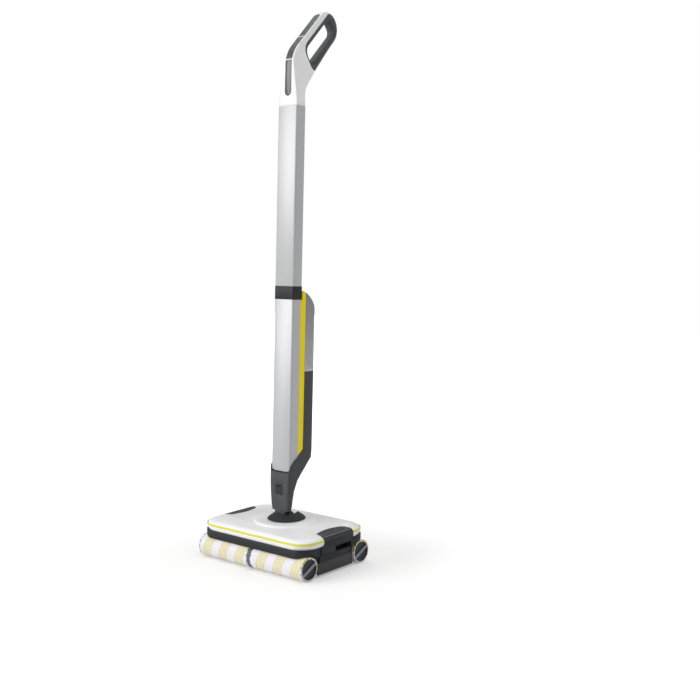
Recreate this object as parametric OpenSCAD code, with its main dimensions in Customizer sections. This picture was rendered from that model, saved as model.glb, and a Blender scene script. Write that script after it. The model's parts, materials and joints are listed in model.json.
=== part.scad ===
// Upright wet floor scrubber: a low head with four powered rollers, a swivel foot joint,
// a slim pole with fresh water tank and battery, and a looped handle.
// Origin: on the floor under the middle of the head. +X along the rollers, -Y forward, +Z up.

/* [Rollers] */
// Outer radius of a roller's pile
roller_r = 26; // [25:0.25:26.5]
// Distance from the middle of the head to each row of rollers
row_y = 86; // [85.75:0.25:88]
// Distance from the middle of the head to the outer end of a roller
roller_end = 156.5; // [155:0.5:170]
// Thickness of the pile with its backing
pile_t = 7; // [5:0.5:7.5]
// Wall of a roller core
core_wall = 3; // [2:0.25:3.5]
// Width of the ring that parts the two rollers of a row
ring_w = 8; // [8:0.25:9]
// Radius of that ring
ring_r = 24; // [23:0.25:25]
// Width across the flats of the drive end that carries a roller
drive_flats = 10; // [8:0.25:11]
// Length of the drive end inside a roller
drive_len = 50; // [30:1:80]
// Radius of the recessed cap at the outer end of a roller
cap_r = 21.5; // [20:0.25:22.5]
// Width of the bar across that cap
cap_bar = 8; // [5:0.5:12]

/* [Head] */
// Half length of the dark band over the rollers
head_x = 156; // [155:0.5:158]
// Half length of the block between the rollers
block_x = 150; // [149:0.5:151]
// Half depth of the dark housing
head_y = 104; // [102:0.5:108]
// Corner radius of the band
head_corner = 32; // [24:1:36]
// Corner radius of the cover
cover_corner = 40; // [34:1:46]
// Height of the lower edge of the dark band over the rollers
band_z = 47.5; // [46:0.5:52]
// Height where the cover begins
rim_z = 66; // [65:0.5:68]
// Height of the cover's top
cover_z = 87.3; // [86.5:0.1:88]
// Height of the round platform on it
dome_z = 91; // [90:0.25:92]
// How far the cover stands out past the band
cover_lip = 2; // [1:0.25:3]
// Wall of the cover
cover_wall = 2.5; // [1.5:0.25:3.5]
// Radius of that platform
platform_r = 74; // [64:1:78]
// Height of the middle of the yellow stripe
stripe_z = 78; // [77:0.25:79]
// Width of the yellow stripe
stripe_w = 5; // [3:0.2:6]
// Free height under the head
underside_z = 6; // [4:0.5:7]
// Thickness of the plate under the head
plate_t = 4; // [2:0.25:5]
// Gap between a roller's pile and the channel it turns in
channel_gap = 2.5; // [1.5:0.25:3]
// Height of the wiper blades that strip the pile
wiper_z = 29; // [24:0.5:32]
// Thickness of a wiper blade
wiper_t = 2; // [1:0.25:3]
// Width of a water bar over a row of rollers
bar_w = 8; // [6:0.5:9]
// Number of nozzles in a water bar
nozzles = 12; // [6:1:20]

/* [Drive] */
// Gear module
gear_m = 1.5; // [1.5]
// Teeth of the motor's pinion
pinion_n = 12; // [12]
// Teeth of each idler gear
idler_n = 27; // [27]
// Teeth of the gear on a roller shaft
shaft_n = 24; // [24]
// Width of the gears
gear_w = 5; // [4:0.25:5.25]
// Play between the flanks of meshing teeth
tooth_play = 0.4; // [0.35:0.05:0.6]
// Distance of the motor's shaft in front of the middle
motor_front = 20; // [19.5:0.25:20.5]
// Height of the motor's shaft
motor_z = 33; // [32.5:0.25:33.5]
// Radius of the drive motor
motor_r = 17; // [14:0.5:19]
// Length of the drive motor
motor_len = 32; // [20:1:33]
// Radius of a roller shaft in its bearings
shaft_r = 5; // [4:0.25:5.5]
// Outer radius of a shaft bearing
bearing_r = 9; // [8:0.25:10]

/* [Dirty water tanks] */
// Distance from the middle of the head to a tank's inner wall
tank_in = 44.5; // [43.5:0.5:60]
// Half depth of a dirty water tank
tank_y = 50.5; // [44:0.5:51.5]
// Wall of a dirty water tank
tank_wall = 2; // [1.5:0.25:3]
// Height where a tank's lower apron ends and its grip begins
apron_z = 31; // [28:0.5:34]
// Middle of the grip, behind the middle of the head
grip_y = 7; // [2:0.5:8]
// Half length of the grip
grip_half = 49; // [42:1:52]
// How far the grip reaches into the cover
grip_in = 39; // [30:1:42]
// Number of ridges on the grip
ridges = 4; // [2:1:5]

/* [Foot joint] */
// Distance of the swivel axis behind the middle of the head
swivel_y = 11.3; // [8:0.1:14]
// Radius of the flared skirt of the foot joint
skirt_r = 43; // [38:0.5:48]
// Height of the foot joint's top above the cover
skirt_h = 20.5; // [19:0.25:22]
// Radius of the swivel spigot
spigot_r = 16; // [13:0.5:18]
// Radius of the hinge pin
pin_r = 4; // [3:0.25:4.5]
// Half width of the tongue between the cheeks
tongue_x = 14.6; // [12:0.2:16]

/* [Pole] */
// Lean of the parked pole, in degrees
lean = 2.35; // [1.5:0.05:3.5]
// Where the line of the pole's front meets the floor, ahead of the middle
front_line = 15.5; // [14:0.1:17]
// Half width of the pole
pole_x = 28.2; // [27:0.1:28.6]
// Depth of the upper tube
tube_d = 28.5; // [27:0.25:30]
// Corner radius of the pole
pole_corner = 4; // [3:0.25:6]
// Wall of the pole's shells
pole_wall = 2; // [1.5:0.25:2.5]
// Distance along the pole to the hinge pin
hinge_s = 101.4; // [100:0.1:103]
// Depth of the neck at the hinge
neck_d = 17.4; // [16:0.2:18]
// Distance along the pole to the lower end of the silver shell
shell_s = 202; // [195:1:210]
// Distance along the pole to the seam under the fresh water tank
seam_s = 423; // [410:1:440]
// Distance along the pole to the coupling band
coupling_s = 583; // [570:1:590]
// Length of the coupling band
coupling_len = 29; // [20:1:40]
// Distance along the pole to the handle
handle_s = 1003; // [990:1:1008]
// Depth of the silver shell
shell_d = 24.6; // [22:0.2:26]
// Rounding of the front shell's two lower corners
foot_r = 12; // [8:0.5:14]
// Depth of the yellow frame behind it
frame_d = 17.2; // [15:0.2:18]
// Depth of the whole lower body
body_d = 81; // [76:0.5:86]
// Half width of the neck at its widest
neck_x = 30; // [29.5:0.1:31]

/* [Fresh water tank] */
// Height of the tank over the seam
fresh_h = 179; // [150:1:180]
// Wall of the tank
fresh_wall = 2; // [1.5:0.25:3]
// Radius of the tank's neck
fresh_neck_r = 11.5; // [10:0.5:12]
// Radius of the cap on that neck
fresh_cap_r = 15; // [14:0.25:15.5]

/* [Battery and pump] */
// Length of the battery pack
battery_len = 180; // [120:5:220]
// Half width of the battery pack
battery_x = 21; // [18:0.5:23]
// Radius of the water pump
pump_r = 14; // [10:0.5:16]
// Length of the water pump
pump_len = 90; // [60:5:110]
// Radius of the water hose
hose_r = 3; // [2:0.25:3.5]

/* [Handle] */
// Half width of the handle's loop
loop_x = 12; // [11:0.25:13]
// Slope of the loop's front bar, in degrees
loop_slope = 45; // [43:0.5:47]
// Height over the handle's lower end where the front bar's line meets the middle of the head
loop_rise = 81.5; // [75:0.5:84]
// Distance along that line to the loop's round end
loop_reach = 175; // [168:1:182]
// Radius of the loop's round end
loop_end_r = 36; // [33:0.25:37]
// Thickness of the loop's front bar
front_bar = 21.5; // [18:0.5:23]
// Thickness of the loop's rear bar at its top
rear_bar = 14; // [10:0.5:15]
// Thickness of the dark liner along the front bar
liner_t = 8; // [5:0.5:9]
// Rounding of the rear bar's edges inside the finger hole
hole_round = 5; // [3:0.5:6]
// Half width of the strips on the handle's front
strip_x = 9; // [7:0.5:10]
// Thickness of those strips
strip_t = 3.5; // [2.5:0.25:4]
// Travel of the handle's buttons
button_travel = 1.2; // [0.8:0.1:1.5]

/* [Hidden] */
$fn = 64;

fit = 0.05; // radial running clearance of a shaft in its bore
seat = 0.3; // clearance between pieces that slide or turn past each other
press = 0.02; // radial clearance of a piece fixed in its bore
front = -1;
rear = 1;
left = -1;
right = 1;

white = "#f4f4f2";
dark = "#2b2c2e";
graphite = "#45474a";
silver = "#b9bbbd";
yellow = "#e3cb1e";
steel = "#9da1a6";

// ---- outlines ----

function xy(p) = [p[0], p[1]];
function unit(v) = v / norm(v);
function polar(r, a) = [r * cos(a), r * sin(a)];

// The points of one corner of an outline, rounded with radius r in n steps
function corner(a, b, c, r, n) =
  r <= 0 ? [b] :
  let (
    u = unit(a - b), v = unit(c - b), half = acos(u * v) / 2,
    mid = b + unit(u + v) * r / sin(half),
    from = b + u * r / tan(half) - mid, to = b + v * r / tan(half) - mid,
    a0 = atan2(from[1], from[0]), turn = atan2(to[1], to[0]) - a0,
    sweep = turn > 180 ? turn - 360 : turn < -180 ? turn + 360 : turn
  )
  [for (i = [0:n]) mid + polar(r, a0 + sweep * i / n)];

// An outline from [x, y, radius] corners
function rounded(p, n = 8) = [
  for (i = [0:len(p) - 1])
    each corner(xy(p[(i + len(p) - 1) % len(p)]), xy(p[i]), xy(p[(i + 1) % len(p)]), p[i][2], n)
];

module rounded_box2(hx, hy, r) {
  square([2 * hx, 2 * (hy - r)], center = true);
  square([2 * (hx - r), 2 * hy], center = true);
  for (sx = [-1, 1], sy = [-1, 1]) translate([sx * (hx - r), sy * (hy - r)]) circle(r);
}

module slab(hx, hy, r, z0, z1) {
  translate([0, 0, z0]) linear_extrude(z1 - z0) rounded_box2(hx, hy, r);
}

// A Y-Z outline made solid from x0 to x1
module between_x(x0, x1) {
  rotate([90, 0, 90]) translate([0, 0, x0]) linear_extrude(x1 - x0) children();
}

// An X-Z outline made solid from y0 to y1
module between_y(y0, y1) {
  translate([0, y1, 0]) rotate([90, 0, 0]) linear_extrude(y1 - y0) children();
}

module rod_x(r, x0, x1) {
  translate([x0, 0, 0]) rotate([0, 90, 0]) cylinder(r = r, h = x1 - x0);
}

module on_side(side) {
  if (side < 0) mirror([1, 0, 0]) children();
  else children();
}

module box(x0, x1, y0, y1, z0, z1) {
  translate([x0, y0, z0]) cube([x1 - x0, y1 - y0, z1 - z0]);
}

// ---- rollers ----

core_r = roller_r - pile_t;
roller_in = ring_w / 2 + 1;
cap_t = 2.5;
cap_rim = 2.5;
pile_end = roller_end - 2;
core_end = pile_end - 3.5;
hub_in = ring_w / 2 + 7;
hub_r = bearing_r + 3;
socket_r = (drive_flats / 2 + 0.15) / cos(30);

module at_row(row) {
  translate([0, row * row_y, roller_r]) children();
}

module roller_core(row, side) {
  color(graphite) at_row(row) on_side(side) difference() {
    rod_x(core_r, roller_in, core_end);
    rod_x(core_r - core_wall, roller_in - 1, hub_in);
    difference() {
      rod_x(core_r - core_wall, hub_in + 4, core_end + 1);
      rod_x(socket_r + 2.5, hub_in, hub_in + drive_len);
    }
    translate([hub_in - 1, 0, 0]) rotate([0, 90, 0]) cylinder(r = socket_r, h = drive_len + 2, $fn = 6);
  }
}

module roller_pile(row, side) {
  color("#e9e6ee") at_row(row) on_side(side) difference() {
    rod_x(roller_r, roller_in, pile_end);
    rod_x(core_r + press, roller_in - 1, pile_end + 1);
    rod_x(cap_r + press, core_end, pile_end + 1);
  }
}

module roller_cap(row, side) {
  plug_r = core_r - core_wall - press;
  face = core_end + cap_t;
  color(graphite) at_row(row) on_side(side) {
    difference() {
      union() {
        rod_x(plug_r, core_end - 8, core_end);
        rod_x(cap_r, core_end, roller_end);
      }
      rod_x(plug_r - 2, core_end - 9, core_end - 1);
      rod_x(cap_r - cap_rim, face, roller_end + 1);
    }
    rotate([35, 0, 0]) box(face - 1, roller_end - 0.7, -cap_bar / 2, cap_bar / 2,
      -cap_r + cap_rim / 2, cap_r - cap_rim / 2);
  }
}

// ---- gears ----

function pitch_r(n) = gear_m * n / 2;
function tip_r(n) = pitch_r(n) + 0.9 * gear_m;
function turn_to(a, b) = atan2(b[1] - a[1], b[0] - a[0]);
// Distance between two meshing gears, a little over the sum of their pitch radii
function spacing(n1, n2) = pitch_r(n1) + pitch_r(n2) + 0.1;
// The point at distance r1 from a and r2 from b, above the line between them
function apex(a, b, r1, r2) =
  let (d = norm(b - a), bend = acos((r1 * r1 + d * d - r2 * r2) / (2 * r1 * d)),
       way = turn_to(a, b), up = abs(way) > 90 ? -bend : bend)
  a + polar(r1, way + up);
// The turn of gear b that puts a gap where gear a, turned by phase, has a tooth
function mesh_turn(phase, na, nb, way) = way + 180 + ((way - phase) * na / 360 + 0.5) * 360 / nb;

front_axis = [-row_y, roller_r];
rear_axis = [row_y, roller_r];
motor_axis = [-motor_front, motor_z];
front_idler_axis = apex(motor_axis, front_axis, spacing(pinion_n, idler_n), spacing(idler_n, shaft_n));
rear_inner_axis = motor_axis + polar(spacing(pinion_n, idler_n), 2);
rear_outer_axis = apex(rear_inner_axis, rear_axis, spacing(idler_n, idler_n), spacing(idler_n, shaft_n));

front_idler_turn = mesh_turn(0, pinion_n, idler_n, turn_to(motor_axis, front_idler_axis));
front_gear_turn = mesh_turn(front_idler_turn, idler_n, shaft_n, turn_to(front_idler_axis, front_axis));
rear_inner_turn = mesh_turn(0, pinion_n, idler_n, turn_to(motor_axis, rear_inner_axis));
rear_outer_turn = mesh_turn(rear_inner_turn, idler_n, idler_n, turn_to(rear_inner_axis, rear_outer_axis));
rear_gear_turn = mesh_turn(rear_outer_turn, idler_n, shaft_n, turn_to(rear_outer_axis, rear_axis));

idler_pin_r = 3;
motor_shaft_r = 2.5;

function tooth(a, n) =
  let (r = pitch_r(n), w = PI * gear_m / 4 - tooth_play / 2, slope = tan(20))
  [for (p = [[-1.2, -1], [0, -1], [0.9, -1], [0.9, 1], [0, 1], [-1.2, 1]])
    polar(r + p[0] * gear_m, a + p[1] * (w - p[0] * gear_m * slope) / (r + p[0] * gear_m) * 180 / PI)];

module gear(n, axis, turn, bore) {
  translate([0, axis[0], axis[1]]) between_x(-gear_w / 2, gear_w / 2) rotate(turn) difference() {
    polygon([for (k = [0:n - 1]) each tooth(360 * k / n, n)]);
    circle(bore);
  }
}

module motor_pinion() { color(steel) gear(pinion_n, motor_axis, 0, motor_shaft_r + press); }
module front_idler() { color(white) gear(idler_n, front_idler_axis, front_idler_turn, idler_pin_r + fit); }
module rear_idler_inner() { color(white) gear(idler_n, rear_inner_axis, rear_inner_turn, idler_pin_r + fit); }
module rear_idler_outer() { color(white) gear(idler_n, rear_outer_axis, rear_outer_turn, idler_pin_r + fit); }
module front_gear() { color(steel) gear(shaft_n, front_axis, front_gear_turn, shaft_r + press); }
module rear_gear() { color(steel) gear(shaft_n, rear_axis, rear_gear_turn, shaft_r + press); }

module drive_shaft(row) {
  color(steel) at_row(row) {
    rod_x(shaft_r, -hub_in, hub_in);
    for (side = [left, right]) on_side(side) translate([hub_in, 0, 0]) rotate([0, 90, 0])
      cylinder(r = drive_flats / 2 / cos(30), h = drive_len, $fn = 6);
  }
}

module motor_rotor() {
  color(steel) translate([0, motor_axis[0], motor_axis[1]]) {
    rod_x(motor_shaft_r, -gear_w / 2, ring_w / 2 + motor_len - 2);
    rod_x(motor_r - 5, ring_w / 2 + 4, ring_w / 2 + motor_len - 4);
  }
}

module drive_motor() {
  color(graphite) translate([0, motor_axis[0], motor_axis[1]]) difference() {
    rod_x(motor_r, ring_w / 2, ring_w / 2 + motor_len);
    rod_x(motor_r - 4, ring_w / 2 + 3, ring_w / 2 + motor_len - 3);
    rod_x(motor_shaft_r + fit, ring_w / 2 - 1, ring_w / 2 + motor_len - 1.5);
  }
}

// ---- gear case ----

case_wall = 1.2;
case_floor = underside_z + plate_t;
gear_room = 0.6;
case_top = rear_outer_axis[1] + tip_r(idler_n) + gear_room + case_wall;

module case_outline() {
  for (axis = [front_axis, rear_axis]) translate(axis) circle(ring_r);
  for (axis = [front_idler_axis, rear_inner_axis, rear_outer_axis])
    translate([axis[0], axis[1]]) circle(tip_r(idler_n) + gear_room + case_wall);
  translate([-row_y, case_floor]) square([2 * row_y, 36]);
}

module case_room() {
  for (axis = [front_axis, rear_axis]) translate(axis) circle(tip_r(shaft_n) + gear_room);
  for (axis = [front_idler_axis, rear_inner_axis, rear_outer_axis])
    translate(axis) circle(tip_r(idler_n) + gear_room);
  translate(motor_axis) circle(tip_r(pinion_n) + gear_room);
}

// Hubs that carry the shaft bearings, on one face of the case
module case_hubs() {
  for (row = [front, rear]) at_row(row) rod_x(hub_r, ring_w / 2, hub_in - 1);
}

module case_bores(x0, x1) {
  for (row = [front, rear]) at_row(row) rod_x(bearing_r + press, x0, x1);
  for (axis = [front_idler_axis, rear_inner_axis, rear_outer_axis])
    translate([0, axis[0], axis[1]]) rod_x(idler_pin_r + press, -ring_w, ring_w);
}

module gear_case() {
  color("#1d2b24") difference() {
    union() {
      between_x(-ring_w / 2, ring_w / 2 - case_wall) case_outline();
      mirror([1, 0, 0]) case_hubs();
    }
    between_x(case_wall - ring_w / 2, ring_w) case_room();
    case_bores(-hub_in, 0);
  }
}

module gear_case_lid() {
  color("#1d2b24") difference() {
    union() {
      between_x(ring_w / 2 - case_wall, ring_w / 2) case_outline();
      case_hubs();
    }
    case_bores(0, hub_in);
    translate([0, motor_axis[0], motor_axis[1]]) rod_x(motor_shaft_r + seat, 0, ring_w);
  }
}

module shaft_bearings() {
  color(steel) for (row = [front, rear], side = [left, right]) at_row(row) on_side(side) difference() {
    rod_x(bearing_r, ring_w / 2, hub_in - 2);
    rod_x(shaft_r + fit, 0, hub_in);
  }
}

module idler_pins() {
  color(steel) for (axis = [front_idler_axis, rear_inner_axis, rear_outer_axis])
    translate([0, axis[0], axis[1]]) rod_x(idler_pin_r, -ring_w / 2, ring_w / 2);
}

// ---- head ----

channel_r = roller_r + channel_gap;
block_y = row_y - 24;
bay_x = 38;
bay_top = rim_z - 5;
pocket_x = tank_in - 0.5;
pocket_y = tank_y + 0.5;
pocket_top = rim_z - 4;
tower_r = spigot_r + 7;
bar_floor = rim_z - 10;
bar_y = row_y - 6;
bar_h = 7;
window_h = 13;
feed_x = -50;
feed_z = rim_z + 4;
feed_r = 3.5;
blade_near = max(wiper_z, min(wiper_z + wiper_t, roller_r)); // where a blade comes nearest to the pile
blade_tip = row_y - sqrt(pow(roller_r, 2) - pow(roller_r - blade_near, 2)) - seat;
plate_x = block_x - 18.5;
screw_x = (bay_x + pocket_x) / 2;
screw_y = 44;
screw_r = 1.25;

module head_chassis() {
  color(dark) difference() {
    union() {
      slab(head_x, head_y, head_corner, band_z, rim_z);
      box(-block_x, block_x, -block_y, block_y, case_floor, rim_z);
      translate([0, swivel_y, bay_top]) cylinder(r = tower_r, h = dome_z - bay_top);
    }
    for (row = [front, rear]) at_row(row) rod_x(channel_r, -head_x - 1, head_x + 1);
    box(-bay_x, bay_x, -54, 54, 0, bay_top);
    box(-ring_w / 2 - seat, ring_w / 2 + seat, -row_y, row_y, 0, case_top + seat);
    for (side = [left, right]) on_side(side) {
      box(pocket_x, head_x + 1, -pocket_y, pocket_y, 0, pocket_top);
      box(block_x, head_x + 1, -pocket_y, pocket_y, 0, rim_z + 1);
      box(pocket_x + 1, block_x - 2, -block_y, block_y, wiper_z, wiper_z + window_h);
    }
    for (row = [front, rear]) translate([0, row * bar_y, 0]) {
      box(-head_x + 6 - seat, head_x - 6 + seat, -bar_w / 2 - seat, bar_w / 2 + seat, bar_floor, rim_z + 1);
      box(-head_x + 8, head_x - 8, -2, 2, roller_r, rim_z);
    }
    translate([0, swivel_y, 0]) cylinder(r = spigot_r + fit, h = dome_z + 1);
    translate([-tower_r - 1, swivel_y, feed_z]) rod_x(feed_r - 1.5, 0, tower_r);
    for (sx = [-1, 1], sy = [-1, 1]) translate([sx * screw_x, sy * screw_y, 0]) cylinder(r = screw_r + press, h = 30);
  }
}

module underbody_plate() {
  color(graphite) difference() {
    slab(plate_x, row_y - 30, 6, underside_z, case_floor);
    for (sx = [-1, 1], sy = [-1, 1]) translate([sx * screw_x, sy * screw_y, 0]) {
      cylinder(r = screw_r + 0.35, h = 30);
      cylinder(r = 3.3, h = underside_z + 2.2);
    }
    for (side = [left, right]) translate([side * 20, 40, 0]) cylinder(r = 5 + press, h = underside_z + 1.8);
  }
}

module head_screws() {
  color(steel) for (sx = [-1, 1], sy = [-1, 1]) translate([sx * screw_x, sy * screw_y, 0]) {
    translate([0, 0, underside_z + 0.4]) cylinder(r = 3, h = 1.8);
    translate([0, 0, underside_z + 2]) cylinder(r = screw_r, h = 16);
  }
}

module charge_contacts() {
  color("#c8a24a") for (side = [left, right])
    translate([side * 20, 40, underside_z + 0.3]) cylinder(r = 5, h = 1.5);
}

module wiper_blades() {
  color("#3a3d40") for (row = [0, 1], side = [left, right]) mirror([0, row, 0]) on_side(side)
    box(pocket_x + 1 + press, block_x - 2 - press, pocket_y + 0.5, blade_tip, wiper_z, wiper_z + wiper_t);
}

module water_bars() {
  length = 2 * (head_x - 8);
  color("#c9cdd0") {
    for (row = [front, rear]) translate([0, row * bar_y, 0]) difference() {
      union() {
        box(-head_x + 6, head_x - 6, -bar_w / 2, bar_w / 2, bar_floor, bar_floor + bar_h);
        for (i = [0:nozzles - 1]) translate([(i + 0.5) * length / nozzles - length / 2, 0, bar_floor - 1.5])
          cylinder(r = 1.5, h = 2);
        translate([feed_x, 0, bar_floor + 3]) cylinder(r = feed_r, h = feed_z - bar_floor - 3);
      }
      translate([0, 0, bar_floor + bar_h / 2]) rod_x(2, -head_x + 8, head_x - 8);
      for (i = [0:nozzles - 1]) translate([(i + 0.5) * length / nozzles - length / 2, 0, bar_floor - 2])
        cylinder(r = 0.6, h = bar_h / 2 + 2);
    }
    translate([feed_x, 0, feed_z]) rotate([90, 0, 0]) cylinder(r = feed_r, h = 2 * bar_y + 2 * feed_r, center = true);
    translate([0, swivel_y, feed_z]) rod_x(feed_r, feed_x, -tower_r);
  }
}

// ---- cover ----

cover_x = head_x + cover_lip;
cover_y = head_y + 1.5;
cover_h = cover_z - rim_z;
grip_edge = cover_x - grip_in;

// How far the cover's outside lies in from its widest outline, by height over its rim
cover_steps = [[0, 3], [0.2, 0.8], [0.4, 0], [0.57, 0.4], [0.73, 2], [0.87, 5.5], [0.94, 9.5], [0.985, 16], [1, 48]];

// The cover's outside, shrunk all round by t
module cover_form(t) {
  hull() for (step = cover_steps)
    translate([0, 0, rim_z + step[0] * cover_h - t - 0.05])
      linear_extrude(0.05) rounded_box2(cover_x - step[1] - t, cover_y - step[1] - t, cover_corner - t, $fn = 40);
}

// Plan of the opening that a tank's grip fills, grown by t
module grip_plan(t) {
  polygon(rounded([
    [cover_x + 20, grip_y - grip_half - t, 0], [cover_x - 6, grip_y - grip_half - t, 10],
    [grip_edge + 9 - t, grip_y - grip_half * 0.86 - t, 10], [grip_edge - t, grip_y, 90],
    [grip_edge + 10 - t, grip_y + grip_half * 0.88 + t, 20], [cover_x - 6, grip_y + grip_half + t, 14],
    [cover_x + 20, grip_y + grip_half + t, 0]
  ], 6));
}

module grip_openings() {
  for (side = [left, right]) on_side(side) linear_extrude(dome_z + 10) grip_plan(0);
}

module head_cover() {
  color(white) difference() {
    union() {
      cover_form(0);
      translate([0, swivel_y, cover_z - 2]) cylinder(r = platform_r, h = 2);
      translate([0, swivel_y, cover_z]) cylinder(r1 = platform_r, r2 = platform_r - 4, h = dome_z - cover_z);
    }
    difference() {
      translate([0, 0, -0.1]) cover_form(cover_wall);
      for (sx = [-1, 1], sy = [-1, 1]) translate([sx * 90, sy * 70, rim_z]) cylinder(r = 5, h = 30);
    }
    slab(head_x + 1, head_y - 0.5, head_corner - 1, 0, rim_z);
    translate([0, swivel_y, 0]) cylinder(r = tower_r + seat, h = dome_z + 1);
    stripe_form(0.02);
    grip_openings();
  }
}

module stripe_form(t) {
  difference() {
    slab(cover_x + 0.3, cover_y + 0.3, cover_corner, stripe_z - stripe_w / 2 - t, stripe_z + stripe_w / 2 + t);
    slab(cover_x - 1.2 - t, cover_y - 1.2 - t, cover_corner - 1.5, 0, dome_z);
  }
}

module trim_stripe() {
  color("#e5e070") difference() {
    stripe_form(0);
    for (side = [left, right]) on_side(side) linear_extrude(dome_z + 10) grip_plan(0.1);
  }
}

// ---- dirty water tanks ----

tank_out = block_x - 16;
tank_z = case_floor + seat;
tank_top = pocket_top - 4;
apron_x = block_x + seat;
apron_t = 2.5;
apron_y = row_y - roller_r - 2.5;
recess_front = -4;
recess_z = 46;
recess_top = pocket_top - 2.5;

module dirty_tank(side) {
  color("#55585b") on_side(side) difference() {
    union() {
      box(tank_in, tank_out, -tank_y, tank_y, tank_z, tank_top);
      box(tank_out - 2, apron_x, -tank_y, tank_y, tank_z, apron_z);
      box(apron_x, apron_x + apron_t, -apron_y, apron_y, underside_z - 0.5, apron_z);
    }
    box(tank_in + tank_wall, tank_out - tank_wall, tank_wall - tank_y, tank_y - tank_wall, tank_z + tank_wall, 99);
    box(
      tank_out - 3, apron_x - tank_wall, tank_wall - tank_y, tank_y - tank_wall,
      tank_z + tank_wall, apron_z - tank_wall
    );
    box(tank_in + 6, tank_out - 6, -99, 99, wiper_z + wiper_t, wiper_z + window_h);
  }
}

// Section of the grip: it follows the cover's outside, t thick
function grip_section(t) = rounded([
  [apron_x + 2, apron_z, 0], [apron_x + 2, band_z - 3, 3],
  [head_x + 1.4, band_z + 1, 2], [head_x + 1.4, rim_z - 1, 1],
  [cover_x - 0.4, rim_z + 2, 4], [cover_x - 0.6, rim_z + 13, 8], [cover_x - 7, cover_z - 1.8, 7],
  [grip_edge + 16, cover_z - 0.6, 20], [grip_edge - 4, cover_z - 0.2, 0], [grip_edge - 4, cover_z - 0.2 - t, 0],
  [grip_edge + 16, cover_z - 0.6 - t, 18], [cover_x - 8.2, cover_z - 1.8 - t, 5], [cover_x - 0.6 - t, rim_z + 12, 6],
  [cover_x - 0.4 - t, rim_z + 2.5, 2], [head_x + 1.4 - t, rim_z - 0.5, 1], [head_x + 1.4 - t, band_z + 2, 1],
  [apron_x + 2 - t, band_z - 2, 1], [apron_x + 2 - t, apron_z, 0]
], 5);

module tank_grip(side) {
  color(dark) on_side(side) difference() {
    union() {
      intersection() {
        between_y(-tank_y - 20, tank_y + 20) polygon(grip_section(2));
        union() {
          box(apron_x - 1, cover_x, -tank_y, tank_y, apron_z, rim_z - seat);
          intersection() {
            linear_extrude(dome_z) grip_plan(-0.4);
            union() {
              box(0, cover_x, -tank_y, tank_y, apron_z, rim_z + seat);
              box(0, cover_x, grip_y - grip_half, grip_y + grip_half, rim_z + seat, dome_z);
            }
          }
        }
      }
      box(tank_out, apron_x + 1, recess_front - 2, tank_y, recess_z - 2, recess_top + 1.5);
    }
    box(tank_out + 2, 200, recess_front, tank_y - 2, recess_z, recess_top);
    for (i = [0:ridges - 1]) translate([grip_edge + 8 + i * 5.5, 0, cover_z - 1.7 - 0.06 * i * i])
      rotate([0, 4, 0]) box(0, 2.2, grip_y - grip_half + 16, grip_y + grip_half - 16, 0, 9);
  }
}

// ---- foot joint ----

function pole_y(d, s) = d * cos(lean) + s * sin(lean) - front_line;
function pole_z(d, s) = s * cos(lean) - d * sin(lean);

hinge_d = neck_d / 2;
hinge_y = pole_y(hinge_d, hinge_s);
hinge_z = pole_z(hinge_d, hinge_s);
yoke_z = dome_z + seat;
spigot_end = bay_top - 2.5;
cheek_r = 10.8;
slot_z = hinge_z - hinge_d - 0.8;
saddle_slope = 16;
pin_half = 21;

module swivel_yoke() {
  color(dark) difference() {
    translate([0, swivel_y, 0]) difference() {
      rotate_extrude() polygon([
        [0, spigot_end], [spigot_r, spigot_end], [spigot_r, yoke_z], [skirt_r - 1, yoke_z], [skirt_r, yoke_z + 1],
        [skirt_r - 3, yoke_z + 4], [skirt_r / 2 + 5, yoke_z + skirt_h - 7], [skirt_r / 2, yoke_z + skirt_h - 1.5],
        [skirt_r / 2 - 3, yoke_z + skirt_h], [0, yoke_z + skirt_h]
      ]);
      // retainer groove, rotary water seal and the bore that feeds it
      for (groove = [[spigot_end + 0.5, spigot_end + 2], [feed_z - 2.5, feed_z + 2.5]])
        translate([0, 0, groove[0]]) difference() {
          cylinder(r = spigot_r + 1, h = groove[1] - groove[0]);
          cylinder(r = spigot_r - 1.5, h = groove[1] - groove[0]);
        }
      translate([0, 0, feed_z]) rod_x(feed_r - 1.5, -spigot_r, 0);
      translate([0, 0, feed_z - 3]) cylinder(r = hose_r + 1, h = 99);
    }
    box(-tongue_x - 0.4, tongue_x + 0.4, hinge_y - hinge_d - 0.8, 99, slot_z, 199);
    difference() {
      translate([0, hinge_y + 3, hinge_z - 5]) rotate([saddle_slope, 0, 0]) box(-99, 99, -6, 99, 0, 99);
      translate([0, hinge_y, hinge_z]) rod_x(cheek_r, -99, 99);
      box(-99, 99, -99, hinge_y, 0, 199);
    }
    translate([0, hinge_y, hinge_z]) rod_x(pin_r + press, -pin_half - press, pin_half + press);
  }
}

module hinge_pin() {
  color(steel) translate([0, hinge_y, hinge_z]) rod_x(pin_r, -pin_half, pin_half);
}

module swivel_retainer() {
  color(steel) translate([0, swivel_y, spigot_end + 0.5]) difference() {
    cylinder(r = spigot_r + 4, h = 1.5);
    cylinder(r = spigot_r - 1.5 + press, h = 1.5);
  }
}

// ---- pole, in its own frame: X across, Y back from its front face, Z along it ----

module on_pole() {
  translate([0, -front_line, 0]) rotate([-lean, 0, 0]) children();
}

rear_corner = 16.5;
frame_back = shell_d + frame_d;
shelf = 20;
cap_d = (frame_back + body_d) / 2;
recess_r = fresh_cap_r + 0.5;

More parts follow.
